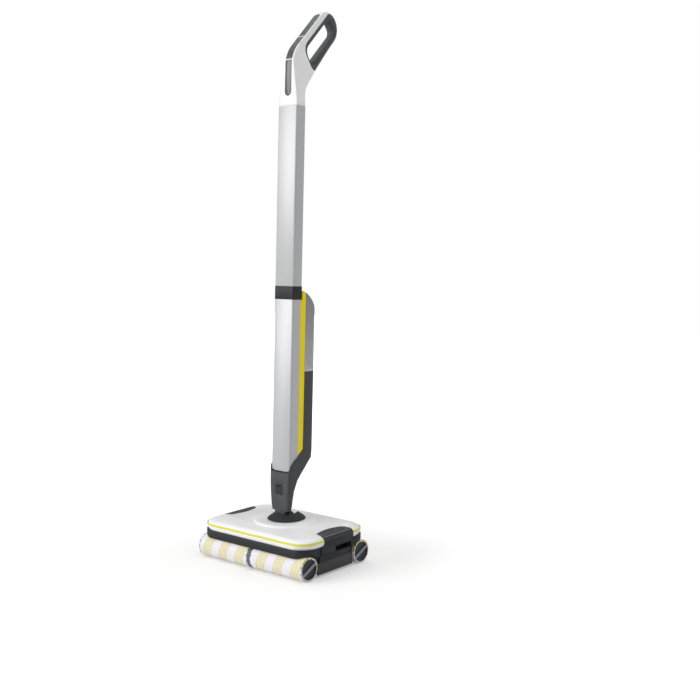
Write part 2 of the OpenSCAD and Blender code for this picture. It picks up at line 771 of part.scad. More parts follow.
// A solid through rings of points, all rings with the same number of points
module loft(rings) {
  n = len(rings[0]);
  m = len(rings);
  polyhedron(
    points = [for (ring = rings) each ring],
    faces = concat(
      [[for (i = [0:n - 1]) i]],
      [for (k = [0:m - 2], i = [0:n - 1]) let (a = k * n + i, b = k * n + (i + 1) % n)
        each [[a, b + n, b], [a, a + n, b + n]]],
      [[for (i = [n - 1:-1:0]) (m - 1) * n + i]]
    )
  );
}

// A rounded rectangle of the pole's section at distance s along it
function section_ring(s, hx, d0, d1, r0, r1) =
  [for (p = rounded([[-hx, d0, r0], [hx, d0, r0], [hx, d1, r1], [-hx, d1, r1]], 6)) [p[0], p[1], s]];

// Stations of the neck and rear housing: distance, half width, front, back, rear corner
neck_stations = [
  [hinge_s + 11.5, neck_x - 5.6, -1, 14.5, 6], [hinge_s + 23, neck_x - 3.1, -1.7, 15.1, 6.5],
  [hinge_s + 33, neck_x - 2.4, -2.2, 15.8, 7], [157, neck_x - 1.1, -3.4, 20.3, 9],
  [180, neck_x - 0.1, -3.6, 31.5, 12], [shell_s + 1, neck_x, -3.6, body_d - 28.7, 14],
  [shell_s + 26, neck_x - 0.5, -3.6, body_d - 3, 16], [shell_s + 41, pole_x + 0.5, -3.6, body_d, rear_corner],
  [seam_s, pole_x + 0.5, -3.6, body_d, rear_corner]
];

// The neck's form, its walls moved in by t, from station distance s0 to s1
module neck_form(t, s0, s1) {
  last = len(neck_stations) - 1;
  loft([for (i = [0:last]) let (p = neck_stations[i], at = i == 0 ? s0 : i == last ? s1 : p[0])
    section_ring(at, p[1] - t, p[2] + t, p[3] - t, 6 - t, p[4] - t)]);
}

// Side view of the line where the shell and the frame sit on the neck
// A lower corner of the front shell, the block that the neck keeps there: rounded by foot_r at the front
module shell_corner(t) {
  loft([for (e = [[18, 4], [0, foot_r], [-9.5, foot_r]])
    let (foot = shell_s + (e[0] < 0 ? 12 / 9 : 33 / shell_d) * e[0] - t, half = pole_x + 0.6 - e[1] + t) concat(
      [[60, e[0], foot - 30], [60, e[0], foot + e[1]]],
      [for (a = [0:15:90]) [half + e[1] * cos(a), e[0], foot + e[1] * (1 - sin(a))]],
      [[half, e[0], foot - 30]]
    )]);
}
function shell_foot(t) = [
  [-9, shell_s - 12 - t], [0, shell_s - t], [shell_d, shell_s + 33 - t], [frame_back, shell_s + 48 - t]
];

module neck_housing() {
  wall = pole_wall + 0.4;
  color(dark) on_pole() difference() {
    union() {
      neck_form(0, hinge_s + 11.5, seam_s);
      between_x(-tongue_x, tongue_x) {
        polygon([[0, hinge_s], [-0.5, hinge_s + 20], [14, hinge_s + 20], [neck_d, hinge_s]]);
        translate([hinge_d, hinge_s]) circle(hinge_d);
      }
    }
    neck_form(wall, hinge_s + 16, seam_s - shelf);
    difference() {
      between_x(-50, 50) polygon(concat(shell_foot(seat), [[frame_back, 999], [-9, 999]]));
      for (side = [0, 1]) mirror([side, 0, 0]) shell_corner(seat);
    }
    translate([0, cap_d, seam_s - 15]) cylinder(r = recess_r, h = 20);
    translate([0, cap_d, seam_s - shelf - 1]) cylinder(r = hose_r + 1.3, h = 20);
    translate([0, hinge_d, hinge_s + 7]) cylinder(r = hose_r * 1.5 + seat, h = 20);
    translate([0, hinge_d, hinge_s]) rod_x(pin_r + fit, -50, 50);
    box(-neck_button_x - seat, neck_button_x + seat, -5, wall + 1, neck_button_s - seat, neck_button_s + 23 + seat);
    box(-10 - seat, 10 + seat, body_d - 5, body_d + 1, release_s - seat, release_s + 10 + seat);
  }
}

neck_face = -3.2; // depth of the neck's front at the lock button
neck_button_x = 10;
neck_button_s = 149;
release_s = seam_s - shelf - 14;

// Side view of the silver shell in front
module shell_side(t) {
  polygon([[t, shell_s + 33 * t / shell_d], [shell_d, shell_s + 33], [shell_d, coupling_s], [t, coupling_s]]);
}

module tube_section(hx, y0, y1, r) {
  translate([0, (y0 + y1) / 2]) rounded_box2(hx, (y1 - y0) / 2, r);
}

// The section of a spigot that sits inside the upper tube
module spigot_section() {
  wall = pole_wall + press;
  tube_section(pole_x - wall, wall, tube_d - wall, pole_corner - pole_wall);
}

module front_shell() {
  color(silver) on_pole() difference() {
    intersection() {
      between_x(-pole_x, pole_x) shell_side(0);
      linear_extrude(coupling_s) tube_section(pole_x, 0, shell_d + 20, pole_corner);
    }
    translate([0, 0, shell_s - 1]) linear_extrude(999)
      tube_section(pole_x - pole_wall, pole_wall, shell_d + 20, pole_corner - pole_wall);
    for (side = [0, 1]) mirror([side, 0, 0]) shell_corner(0);
  }
}

// The round that runs over the frame's top and down the tank's rear, moved in by t
tank_foot = seam_s + seat;
tank_front = frame_back + seat;
crown_s = tank_foot + fresh_h;
crown_d = shell_d + 6;
crown_h = 64;
crown_power = 1.25;
function crown(t, from, to) = let (
    a = body_d - crown_d - t, h = crown_h - t,
    a0 = asin(pow((from - crown_d) / a, 1 / crown_power)), a1 = asin(pow((to - crown_d) / a, 1 / crown_power))
  )
  [for (i = [0:14]) let (p = a0 + (a1 - a0) * i / 14)
    [crown_d + a * pow(sin(p), crown_power), crown_s - crown_h + h * pow(cos(p), crown_power)]];

module side_frame() {
  color(yellow) on_pole() difference() {
    between_x(-pole_x, pole_x) polygon(concat(
      [[frame_back, shell_s + 48], [shell_d, shell_s + 33], [shell_d, coupling_s]],
      [[tube_d + 1.3, coupling_s], [tube_d + 1.3, crown_s]], crown(0, crown_d, frame_back)
    ));
    box(-pole_x + pole_wall, pole_x - pole_wall, 0, frame_back - 4, 0, coupling_s - 8);
    box(-12, 12, 0, 999, shell_s + 40, seam_s - battery_len / 2 - 20);
  }
}

module pole_coupling() {
  proud = 0.6;
  end = coupling_s + coupling_len;
  color(dark) on_pole() difference() {
    union() {
      translate([0, 0, coupling_s]) linear_extrude(coupling_len)
        tube_section(pole_x + proud, -proud, tube_d + proud, pole_corner);
      translate([0, 0, coupling_s]) linear_extrude(coupling_len + 28) spigot_section();
      translate([0, 0, coupling_s - 25]) linear_extrude(26)
        tube_section(pole_x - pole_wall - press, pole_wall + press, shell_d - press, 3);
    }
    linear_extrude(end + 99) tube_section(pole_x - pole_wall - 3, pole_wall + 3, shell_d - 4, 3);
  }
}

module upper_tube() {
  color(silver) on_pole() translate([0, 0, coupling_s + coupling_len])
    linear_extrude(handle_s - coupling_s - coupling_len) difference() {
      tube_section(pole_x, 0, tube_d, pole_corner);
      tube_section(pole_x - pole_wall, pole_wall, tube_d - pole_wall, pole_corner - pole_wall);
    }
}

module battery_pack() {
  color("#3b4a5a") on_pole() translate([0, 0, shell_s + 90]) linear_extrude(battery_len)
    tube_section(battery_x, pole_wall + seat, frame_back - 4, 5);
}

module water_pump() {
  top = seam_s - shelf;
  color(graphite) on_pole() translate([0, cap_d, 0]) {
    translate([0, 0, top - 35]) cylinder(r = pump_r, h = 35);
    translate([0, 0, top - pump_len]) cylinder(r = pump_r - 3, h = pump_len - 30);
    translate([0, 0, top - 1]) cylinder(r = hose_r, h = 4.5);
  }
}

// Route of the water hose from the pump down through the neck
hose_path = [
  [cap_d, seam_s - shelf - pump_len], [cap_d, shell_s + 73], [36, shell_s + 3], [hinge_d, shell_s - 52],
  [hinge_d, hinge_s + 8]
];

// The hose's side view, r to each side of its route
function hose_outline(r) = concat(
  [for (i = [0:len(hose_path) - 1]) hose_path[i] + hose_normal(i) * r],
  [for (i = [len(hose_path) - 1:-1:0]) hose_path[i] - hose_normal(i) * r]
);
function hose_normal(i) = let (
    last = len(hose_path) - 1,
    u = unit(hose_path[min(i + 1, last)] - hose_path[min(i, last - 1)]),
    v = unit(hose_path[max(i, 1)] - hose_path[max(i - 1, 0)]), w = unit(u + v)
  ) [-w[1], w[0]] / (u * w);

module water_hose() {
  color("#8a8f94") on_pole() between_x(-hose_r, hose_r) polygon(hose_outline(hose_r));
}

// ---- fresh water tank ----

module fresh_side(t) {
  polygon(concat(
    [[body_d - t, tank_foot + t], [tank_front + t, tank_foot + t]],
    crown(t, tank_front + t, body_d - t)
  ));
}

module fresh_form(t) {
  hx = pole_x + 0.5 - t;
  intersection() {
    between_x(-hx, hx) fresh_side(t);
    linear_extrude(999) polygon(rounded([
      [hx, tank_front + t, 1], [hx, body_d - t, rear_corner - t],
      [-hx, body_d - t, rear_corner - t], [-hx, tank_front + t, 1]
    ], 10));
  }
}

module fresh_tank() {
  color([0.75, 0.77, 0.79, 0.5]) on_pole() difference() {
    union() {
      fresh_form(0);
      translate([0, cap_d, seam_s - 11]) cylinder(r = fresh_neck_r, h = 13);
    }
    fresh_form(fresh_wall);
    translate([0, cap_d, seam_s - 12]) cylinder(r = fresh_neck_r - 2, h = 20);
  }
}

module tank_cap() {
  color(yellow) on_pole() translate([0, cap_d, seam_s - 13]) difference() {
    cylinder(r = fresh_cap_r, h = 12);
    translate([0, 0, 2]) cylinder(r = fresh_neck_r + fit, h = 20);
    translate([0, 0, -1]) cylinder(r = 4, h = 20);
    for (i = [0:11]) rotate(i * 30) translate([fresh_cap_r + 1, 0, -1]) cylinder(r = 1.6, h = 20);
  }
}

module tank_valve() {
  color(graphite) on_pole() translate([0, cap_d, seam_s - 15.5]) {
    cylinder(r = 4 - seat, h = 5);
    translate([0, 0, 4.5]) cylinder(r = 7, h = 2);
  }
}

// ---- handle ----

strut_out = [-sin(loop_slope), cos(loop_slope)];
loop_line = handle_s + loop_rise;
back_slope = loop_slope + 1;
back_out = [sin(back_slope), -cos(back_slope)];
bend_r = 67;
heel_r = 50;

// A point u along the line of the loop's front bar and v outside it
function on_loop(u, v) = [0, loop_line] + polar(u, loop_slope) + strut_out * v;
function loop_outline(p, n) = rounded([for (c = p) concat(on_loop(c[0], c[1]), c[2])], n);

loop_end = on_loop(loop_reach, -loop_end_r);

// Turns a point of the Y-Z side view into the pole's frame: depth, distance along it
function to_pole(p) = [
  (p[0] + front_line) * cos(lean) - p[1] * sin(lean), p[1] * cos(lean) + (p[0] + front_line) * sin(lean)
];

// The point on the pole's front line where the loop's front bar starts
bend = let (k = tan(lean), z = (loop_line - front_line * tan(loop_slope)) / (1 - k * tan(loop_slope)))
  [k * z - front_line, z];

// The point where the line of the loop's rear bar meets the line of the tube's back
heel = let (
    k = tan(lean), m = 1 / tan(back_slope), from = loop_end + back_out * loop_end_r,
    z = (from[0] - from[1] * m - tube_d / cos(lean) + front_line) / (k - m)
  )
  [k * z + tube_d / cos(lean) - front_line, z];

// The handle's front and back in the side view, both from the tube up to the loop's top
arc_front = 90 + loop_slope;
arc_back = back_slope - 90;
arc_top = 90 - lean;
front_side = concat(
  [[pole_y(0, handle_s), pole_z(0, handle_s)]],
  corner([pole_y(0, handle_s), pole_z(0, handle_s)], bend, loop_end + strut_out * loop_end_r, bend_r, 12),
  [for (i = [0:6]) loop_end + polar(loop_end_r, arc_front + (arc_top - arc_front) * i / 6)]
);
back_side = concat(
  [[pole_y(tube_d, handle_s), pole_z(tube_d, handle_s)]],
  corner([pole_y(tube_d, handle_s), pole_z(tube_d, handle_s)], heel, loop_end + back_out * loop_end_r, heel_r, 8),
  [for (i = [0:13]) loop_end + polar(loop_end_r, arc_back + (arc_top - arc_back) * i / 14)]
);

function handle_outline() = concat([back_side[0]], front_side, [for (i = [len(back_side) - 1:-1:1]) back_side[i]]);

bend_u = norm(bend - on_loop(0, 0));
rear_in = rear_bar - 2 * loop_end_r;
rear_out = -2 * loop_end_r;

// The finger hole, widened by t everywhere but at the front bar
function hole_outline(t) = loop_outline([
  [loop_reach + 16.5 + t / 2, -front_bar, 8], [loop_reach + 11 + t, rear_in - t, 14 + t],
  [bend_u + 22 - t / 5, rear_in - t, 9 + t], [bend_u + 36, -front_bar, 20]
], 10);

// The dark liner: thin along the front bar, wrapped around the rear bar and the top
function liner_outline() = loop_outline([
  [bend_u + 33, liner_t - front_bar, 26], [bend_u + 18, rear_out + 4, 13], [bend_u + 41, rear_out - 6, 5],
  [loop_reach + 27, rear_out - 1, 34], [loop_reach + 47, rear_out + 37, 28],
  [loop_reach + 22, liner_t - front_bar, 12]
], 8);

// Depth of a side of the handle at distance s along the pole
function side_depth(side, s) = lookup(s, [for (p = side) let (q = to_pole(p)) [q[1], q[0]]]);

loop_c = to_pole(loop_end);
loop_top = loop_c[1] + loop_end_r;
bend_s = to_pole(bend)[1];

// Distance along the pole at a share of the way from the handle's lower end to the bend
function up_neck(share) = handle_s + (bend_s - handle_s) * share;
half_widths = concat(
  [for (w = [[0, 0], [0.11, 0], [0.3, 0.17], [0.45, 0.35], [0.78, 0.72], [1, 0.86], [1.26, 1]])
    [up_neck(w[0]), pole_x + (loop_x - pole_x) * w[1]]],
  [for (w = [[12, 0], [5, 1.2], [1.5, 3], [0, 5]]) [loop_top - w[0], loop_x - w[1]]]
);
front_rounds = [[handle_s, pole_corner], [up_neck(1.26), 5]];
back_rounds = [[handle_s, pole_corner], [up_neck(0.45), 9], [up_neck(1.26), 11]];

// Distances along the pole of the handle's rings: even up to the loop's end, then round it
handle_rings = concat(
  [for (i = [0:20]) handle_s + (loop_c[1] - handle_s) * i / 20],
  [for (a = [12, 24, 36, 47, 57, 66, 74, 81, 86]) loop_c[1] + loop_end_r * sin(a)]
);

// The handle's outside, without its hole
module handle_form() {
  on_pole() loft([for (s = handle_rings)
    let (
      d0 = side_depth(front_side, s), d1 = side_depth(back_side, s),
      w = lookup(s, half_widths), most = min((d1 - d0) * 0.45, w - 0.5)
    )
    section_ring(s, w, d0, d1, min(lookup(s, front_rounds), most), min(lookup(s, back_rounds), most))]);
}

// A strip on the handle's front, from depth t0 inside to t1 outside its outline
module strip_view(t0, t1, zone) {
  intersection() {
    difference() {
      offset(delta = t1) polygon(handle_outline());
      offset(delta = -t0) polygon(handle_outline());
    }
    polygon(zone);
  }
}

board_x = 11;
board_len = 72;
board_s = handle_s + 8;
zone_t = 9; // reach of a strip's stretch to both sides of the bar's line
strip_gap = 3;
button_gap = 0.8;
power_z0 = bend[1] - 12;
power_u1 = bend_u + 55;
boost_u0 = power_u1 + strip_gap + 0.5;
boost_u1 = loop_reach + 4;
display_z0 = handle_s + 20;
display_z1 = power_z0 - strip_gap;

// The stretch of the front bar between two points of its line, wide enough to hold a strip
function bar_zone(u0, u1) = [on_loop(u0, zone_t), on_loop(u1, zone_t), on_loop(u1, -zone_t), on_loop(u0, -zone_t)];
function power_zone(t) = [
  [bend[0] - 30, power_z0 - t], on_loop(power_u1 + t, zone_t),
  on_loop(power_u1 + t, -zone_t), [bend[0] + 30, power_z0 - t]
];
function display_zone(t) = [
  [bend[0] - 20, display_z0 - t], [bend[0] - 20, display_z1 + t],
  [bend[0] + 15, display_z1 + t], [bend[0] + 15, display_z0 - t]
];

// The plan of a strip: square at one end, round at the other
function strip_plan(half, square_end, round_end) = let (way = round_end > square_end ? 1 : -1) concat(
  [[-half * way, square_end], [half * way, square_end]],
  [for (a = [0:15:180]) [half * way * cos(a), round_end - way * half * (1 - sin(a))]]
);

// The upper strip and the lowest one, their pockets too: wider by x and longer by gap
module boost_form(x, gap, t0, t1) {
  intersection() {
    between_x(-2 * strip_x, 2 * strip_x) strip_view(t0, t1, bar_zone(boost_u0 - gap, boost_u1 + gap));
    translate([0, 0, loop_line]) rotate([loop_slope, 0, 0]) translate([0, 0, -50]) linear_extrude(100)
      polygon(strip_plan(strip_x + x, boost_u0 - gap, boost_u1 + gap));
  }
}
module display_form(x, gap, t0, t1) {
  intersection() {
    between_x(-2 * strip_x, 2 * strip_x) strip_view(t0, t1, display_zone(gap));
    translate([0, 199, 0]) rotate([90, 0, 0]) linear_extrude(299)
      polygon(strip_plan(strip_x + x, display_z1 + gap, display_z0 - gap));
  }
}

module handle_shell() {
  color(white) difference() {
    union() {
      handle_form();
      on_pole() translate([0, 0, handle_s - 28]) linear_extrude(29) spigot_section();
    }
    between_x(-2 * pole_x, 2 * pole_x) polygon(liner_outline());
    boost_form(seat, button_gap, strip_t + button_travel + 0.6, 2);
    between_x(-strip_x - seat, strip_x + seat)
      strip_view(strip_t + button_travel + 0.6, 2, power_zone(button_gap));
    display_form(seat, press, strip_t - 0.5, 2);
    on_pole() translate([0, 0, handle_s - 30]) linear_extrude(35) tube_section(pole_x - 7, 6, tube_d - 5, 3);
    on_pole() box(-board_x - 1, board_x + 1, 6, tube_d - 4, handle_s, board_s + board_len + 4);
  }
}

// The finger hole's cutter: the rear bar's inner edges are rounded towards both sides
module hole_cut() {
  edge = [for (a = [0:30:90]) [loop_x - hole_round * (1 - sin(a)), hole_round * (1 - cos(a))]];
  far = [2 * pole_x, hole_round];
  stations = concat([far], [for (i = [3:-1:0]) edge[i]], [for (e = edge) [-e[0], e[1]]], [[-far[0], far[1]]]);
  loft([for (e = stations) [for (p = hole_outline(e[1])) [e[0], p[0], p[1]]]]);
}

module handle_grip() {
  color("#54565a") difference() {
    intersection() {
      handle_form();
      between_x(-2 * pole_x, 2 * pole_x) polygon(liner_outline());
    }
    hole_cut();
  }
}

module status_display() {
  color("#77797c") display_form(0, 0, strip_t - 0.5, 0.3);
}

module power_button() {
  color("#6f7174") between_x(-strip_x, strip_x) strip_view(strip_t, 0.3, power_zone(0));
}

module boost_button() {
  color("#6f7174") boost_form(0, 0, strip_t, 0.3);
}

module control_board() {
  color("#2f6b45") on_pole() box(-board_x, board_x, 6, 7.6, board_s, board_s + board_len);
}

module tank_release() {
  color(graphite) on_pole() box(-10, 10, body_d - 3, body_d + 0.4, release_s, release_s + 10);
}

module neck_button() {
  color("#1f2022") on_pole() difference() {
    union() {
      box(-neck_button_x, neck_button_x, neck_face - 0.6, neck_face + 3, neck_button_s, neck_button_s + 23);
      box(
        -neck_button_x - 2, neck_button_x + 2, neck_face + 2.9, neck_face + 4.4,
        neck_button_s - 2, neck_button_s + 25
      );
    }
    for (i = [0:5]) translate([0, neck_face, neck_button_s + 2 + i * 3.5])
      box(-neck_button_x + 2, neck_button_x - 2, -2, 0, 0, 1.2);
  }
}

head_chassis();
underbody_plate();
head_cover();
trim_stripe();
wiper_blades();
water_bars();
drive_motor();
gear_case();
gear_case_lid();
shaft_bearings();
idler_pins();
head_screws();
charge_contacts();
motor_rotor();
motor_pinion();
front_idler();
rear_idler_inner();
rear_idler_outer();
drive_shaft(front);  // front_shaft
front_gear();
drive_shaft(rear);  // rear_shaft
rear_gear();
roller_core(front, left);  // front_left_core
roller_pile(front, left);  // front_left_pile
roller_cap(front, left);  // front_left_cap
roller_core(front, right);  // front_right_core
roller_pile(front, right);  // front_right_pile
roller_cap(front, right);  // front_right_cap
roller_core(rear, left);  // rear_left_core
roller_pile(rear, left);  // rear_left_pile
roller_cap(rear, left);  // rear_left_cap
roller_core(rear, right);  // rear_right_core
roller_pile(rear, right);  // rear_right_pile
roller_cap(rear, right);  // rear_right_cap
dirty_tank(left);  // dirty_tank_left
dirty_tank(right);  // dirty_tank_right
tank_grip(left);  // tank_grip_left
tank_grip(right);  // tank_grip_right
swivel_yoke();
hinge_pin();
swivel_retainer();
neck_housing();
front_shell();
side_frame();
pole_coupling();
upper_tube();
battery_pack();
water_pump();
water_hose();
control_board();
handle_shell();
handle_grip();
status_display();
power_button();
boost_button();
tank_release();
neck_button();
fresh_tank();
tank_cap();
tank_valve();
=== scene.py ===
"""Looks of an upright wet floor scrubber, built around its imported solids."""

import json
import logging
import math
from collections.abc import Callable
from dataclasses import dataclass
from enum import Enum

import bpy
from mathutils import Matrix, Vector

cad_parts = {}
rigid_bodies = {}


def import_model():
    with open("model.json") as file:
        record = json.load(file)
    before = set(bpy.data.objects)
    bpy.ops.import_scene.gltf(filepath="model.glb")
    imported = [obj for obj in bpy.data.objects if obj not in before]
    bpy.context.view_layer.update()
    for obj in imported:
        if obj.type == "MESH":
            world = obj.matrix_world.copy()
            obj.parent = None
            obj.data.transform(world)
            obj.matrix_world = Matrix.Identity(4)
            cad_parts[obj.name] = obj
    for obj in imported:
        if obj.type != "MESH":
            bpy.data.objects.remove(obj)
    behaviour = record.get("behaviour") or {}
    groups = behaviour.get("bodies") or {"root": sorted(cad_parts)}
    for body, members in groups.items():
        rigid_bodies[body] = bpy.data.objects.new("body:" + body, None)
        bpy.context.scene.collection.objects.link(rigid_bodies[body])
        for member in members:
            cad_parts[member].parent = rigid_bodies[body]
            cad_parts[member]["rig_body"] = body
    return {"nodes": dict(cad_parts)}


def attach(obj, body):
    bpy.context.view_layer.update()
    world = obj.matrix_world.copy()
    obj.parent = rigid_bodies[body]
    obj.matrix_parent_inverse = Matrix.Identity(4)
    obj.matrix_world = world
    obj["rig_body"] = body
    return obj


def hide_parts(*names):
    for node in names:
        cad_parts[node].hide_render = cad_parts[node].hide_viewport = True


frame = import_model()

LOG = logging.getLogger("scrubber")
Node = bpy.types.Node
Socket = bpy.types.NodeSocket
Piece = bpy.types.Object
Paint = tuple[float, float, float, float]


def mm(value: float) -> float:
    """Turn millimetres into metres.

    Args:
        value: A length in millimetres.

    Returns:
        The length in metres.
    """
    return value / 1000.0


def tone(red: float, green: float, blue: float) -> Paint:
    """Turn a display colour into a linear colour.

    Args:
        red: The red channel, from 0 to 255.
        green: The green channel, from 0 to 255.
        blue: The blue channel, from 0 to 255.

    Returns:
        The linear colour, with full alpha.
    """

    def linear(channel: float) -> float:
        """Turn one display channel into a linear one.

        Args:
            channel: The channel, from 0 to 255.

        Returns:
            The linear channel, from 0 to 1.
        """
        share = channel / 255.0
        return share / 12.92 if share <= 0.04045 else ((share + 0.055) / 1.055) ** 2.4

    return (linear(red), linear(green), linear(blue), 1.0)


# ---- finishes ----


class Wiring:
    """A node tree under construction, with short ways to add and join its nodes."""

    def __init__(self, tree: bpy.types.NodeTree) -> None:
        """Keep the tree that the nodes go into.

        Args:
            tree: The node tree of a material, a group or the world.
        """
        self.tree = tree

    def add(self, kind: str, **settings: object) -> Node:
        """Add a node and set its own properties.

        Args:
            kind: The node's type name.
            **settings: Properties of the node, by name.

        Returns:
            The new node.
        """
        node = self.tree.nodes.new(kind)
        for key, value in settings.items():
            setattr(node, key, value)
        return node

    def join(self, source: Socket, target: Socket) -> None:
        """Link an output to an input.

        Args:
            source: The output.
            target: The input.
        """
        self.tree.links.new(source, target)

    def math(self, operation: str, first: object, second: object = 0.0, third: object = 0.0) -> Socket:
        """Add a Math node whose inputs are sockets or numbers.

        Args:
            operation: The operation's name.
            first: The first input.
            second: The second input.
            third: The third input.

        Returns:
            The node's output socket.
        """
        node = self.add("ShaderNodeMath", operation=operation)
        for place, value in enumerate((first, second, third)):
            if isinstance(value, (int, float)):
                node.inputs[place].default_value = value
            else:
                self.join(value, node.inputs[place])
        return node.outputs[0]

    def noise(self, vector: Socket, scale: object, detail: float = 3.0) -> Socket:
        """Add a noise texture.

        Args:
            vector: The coordinates it reads.
            scale: A number, or a socket that gives it.
            detail: The number of finer layers.

        Returns:
            The noise's value, from 0 to 1.
        """
        node = self.add("ShaderNodeTexNoise")
        node.inputs["Detail"].default_value = detail
        self.join(vector, node.inputs["Vector"])
        if isinstance(scale, (int, float)):
            node.inputs["Scale"].default_value = scale
        else:
            self.join(scale, node.inputs["Scale"])
        return node.outputs["Fac"]

    def mix(self, share: object, first: object, second: object) -> Socket:
        """Mix two colours.

        Args:
            share: How much of the second colour, as a number or a socket.
            first: The colour at 0, as a value or a socket.
            second: The colour at 1, as a value or a socket.

        Returns:
            The mixed colour's socket.
        """
        node = self.add("ShaderNodeMix", data_type="RGBA")
        for place, value in ((0, share), (6, first), (7, second)):
            if isinstance(value, Socket):
                self.join(value, node.inputs[place])
            else:
                node.inputs[place].default_value = value
        return node.outputs[2]

    def band(self, off: Socket, half: float, soft: float) -> Socket:
        """Return a mask that is 1 within a distance and fades over its edge.

        Args:
            off: The distance, never negative.
            half: The distance of the mask's edge.
            soft: How far the edge fades to both sides.

        Returns:
            The mask.
        """
        mask = self.add("ShaderNodeMapRange", interpolation_type="SMOOTHSTEP")
        self.join(off, mask.inputs["Value"])
        mask.inputs["From Min"].default_value = half + soft
        mask.inputs["From Max"].default_value = half - soft
        return mask.outputs["Result"]

    def place(self) -> Socket:
        """Return the object coordinates."""
        return self.add("ShaderNodeTexCoord").outputs["Object"]

    def axes(self, place: Socket) -> tuple[Socket, Socket, Socket]:
        """Split coordinates.

        Args:
            place: The coordinates.

        Returns:
            Their X, Y and Z.
        """
        split = self.add("ShaderNodeSeparateXYZ")
        self.join(place, split.inputs[0])
        return split.outputs[0], split.outputs[1], split.outputs[2]

    def from_middle(self, value: Socket, strength: object) -> Socket:
        """Turn a noise round 0.5 into one round zero.

        Args:
            value: The noise.
            strength: Its new height from lowest to highest, as a number or a socket.

        Returns:
            The new noise.
        """
        return self.math("MULTIPLY", self.math("SUBTRACT", value, 0.5), strength)

    def scaled(self, colour: object, level: Socket) -> Socket:
        """Make a colour brighter or darker.

        Args:
            colour: The colour's socket.
            level: What it is multiplied by.

        Returns:
            The new colour.
        """
        tint = self.add("ShaderNodeVectorMath", operation="SCALE")
        self.join(colour, tint.inputs[0])
        self.join(level, tint.inputs["Scale"])
        return tint.outputs[0]

    def emboss(self, shader: Node, height: Socket, strength: float, distance: float) -> None:
        """Raise a shader's surface by a height.

        Args:
            shader: The shader node.
            height: The height.
            strength: The share of the effect.
            distance: The height that a value of 1 stands for, in metres.
        """
        raised = self.add("ShaderNodeBump")
        raised.inputs["Strength"].default_value = strength
        raised.inputs["Distance"].default_value = distance
        self.join(height, raised.inputs["Height"])
        self.join(raised.outputs["Normal"], shader.inputs["Normal"])

    def paint_over(self, shader: Node, mask: Socket, paint: Paint) -> None:
        """Paint over a shader's colour.

        Args:
            shader: The shader node, whose colour is already joined.
            mask: Where the paint goes.
            paint: The paint's colour.
        """
        plain = shader.inputs["Base Color"].links[0].from_socket
        self.join(self.mix(mask, plain, paint), shader.inputs["Base Color"])

    def looked_at(self) -> Socket:
        """Return 1 for rays from the camera, also through clear pieces, and 0 for all other rays."""
        path = self.add("ShaderNodeLightPath")
        return self.math("MAXIMUM", path.outputs["Is Camera Ray"], path.outputs["Is Transmission Ray"])


def group_tree(name: str, inputs: list[tuple[str, str, object]], outputs: list[tuple[str, str]]) -> Wiring:
    """Start a shader node group with named inputs and outputs.

    Args:
        name: The group's name.
        inputs: Each input's name, socket type and default value.
        outputs: Each output's name and socket type.

    Returns:
        The wiring of the group's own tree.
    """
    tree = bpy.data.node_groups.new(name, "ShaderNodeTree")
    for label, kind, value in inputs:
        socket = tree.interface.new_socket(label, in_out="INPUT", socket_type=kind)
        socket.default_value = value
    for label, kind in outputs:
        tree.interface.new_socket(label, in_out="OUTPUT", socket_type=kind)
    return Wiring(tree)


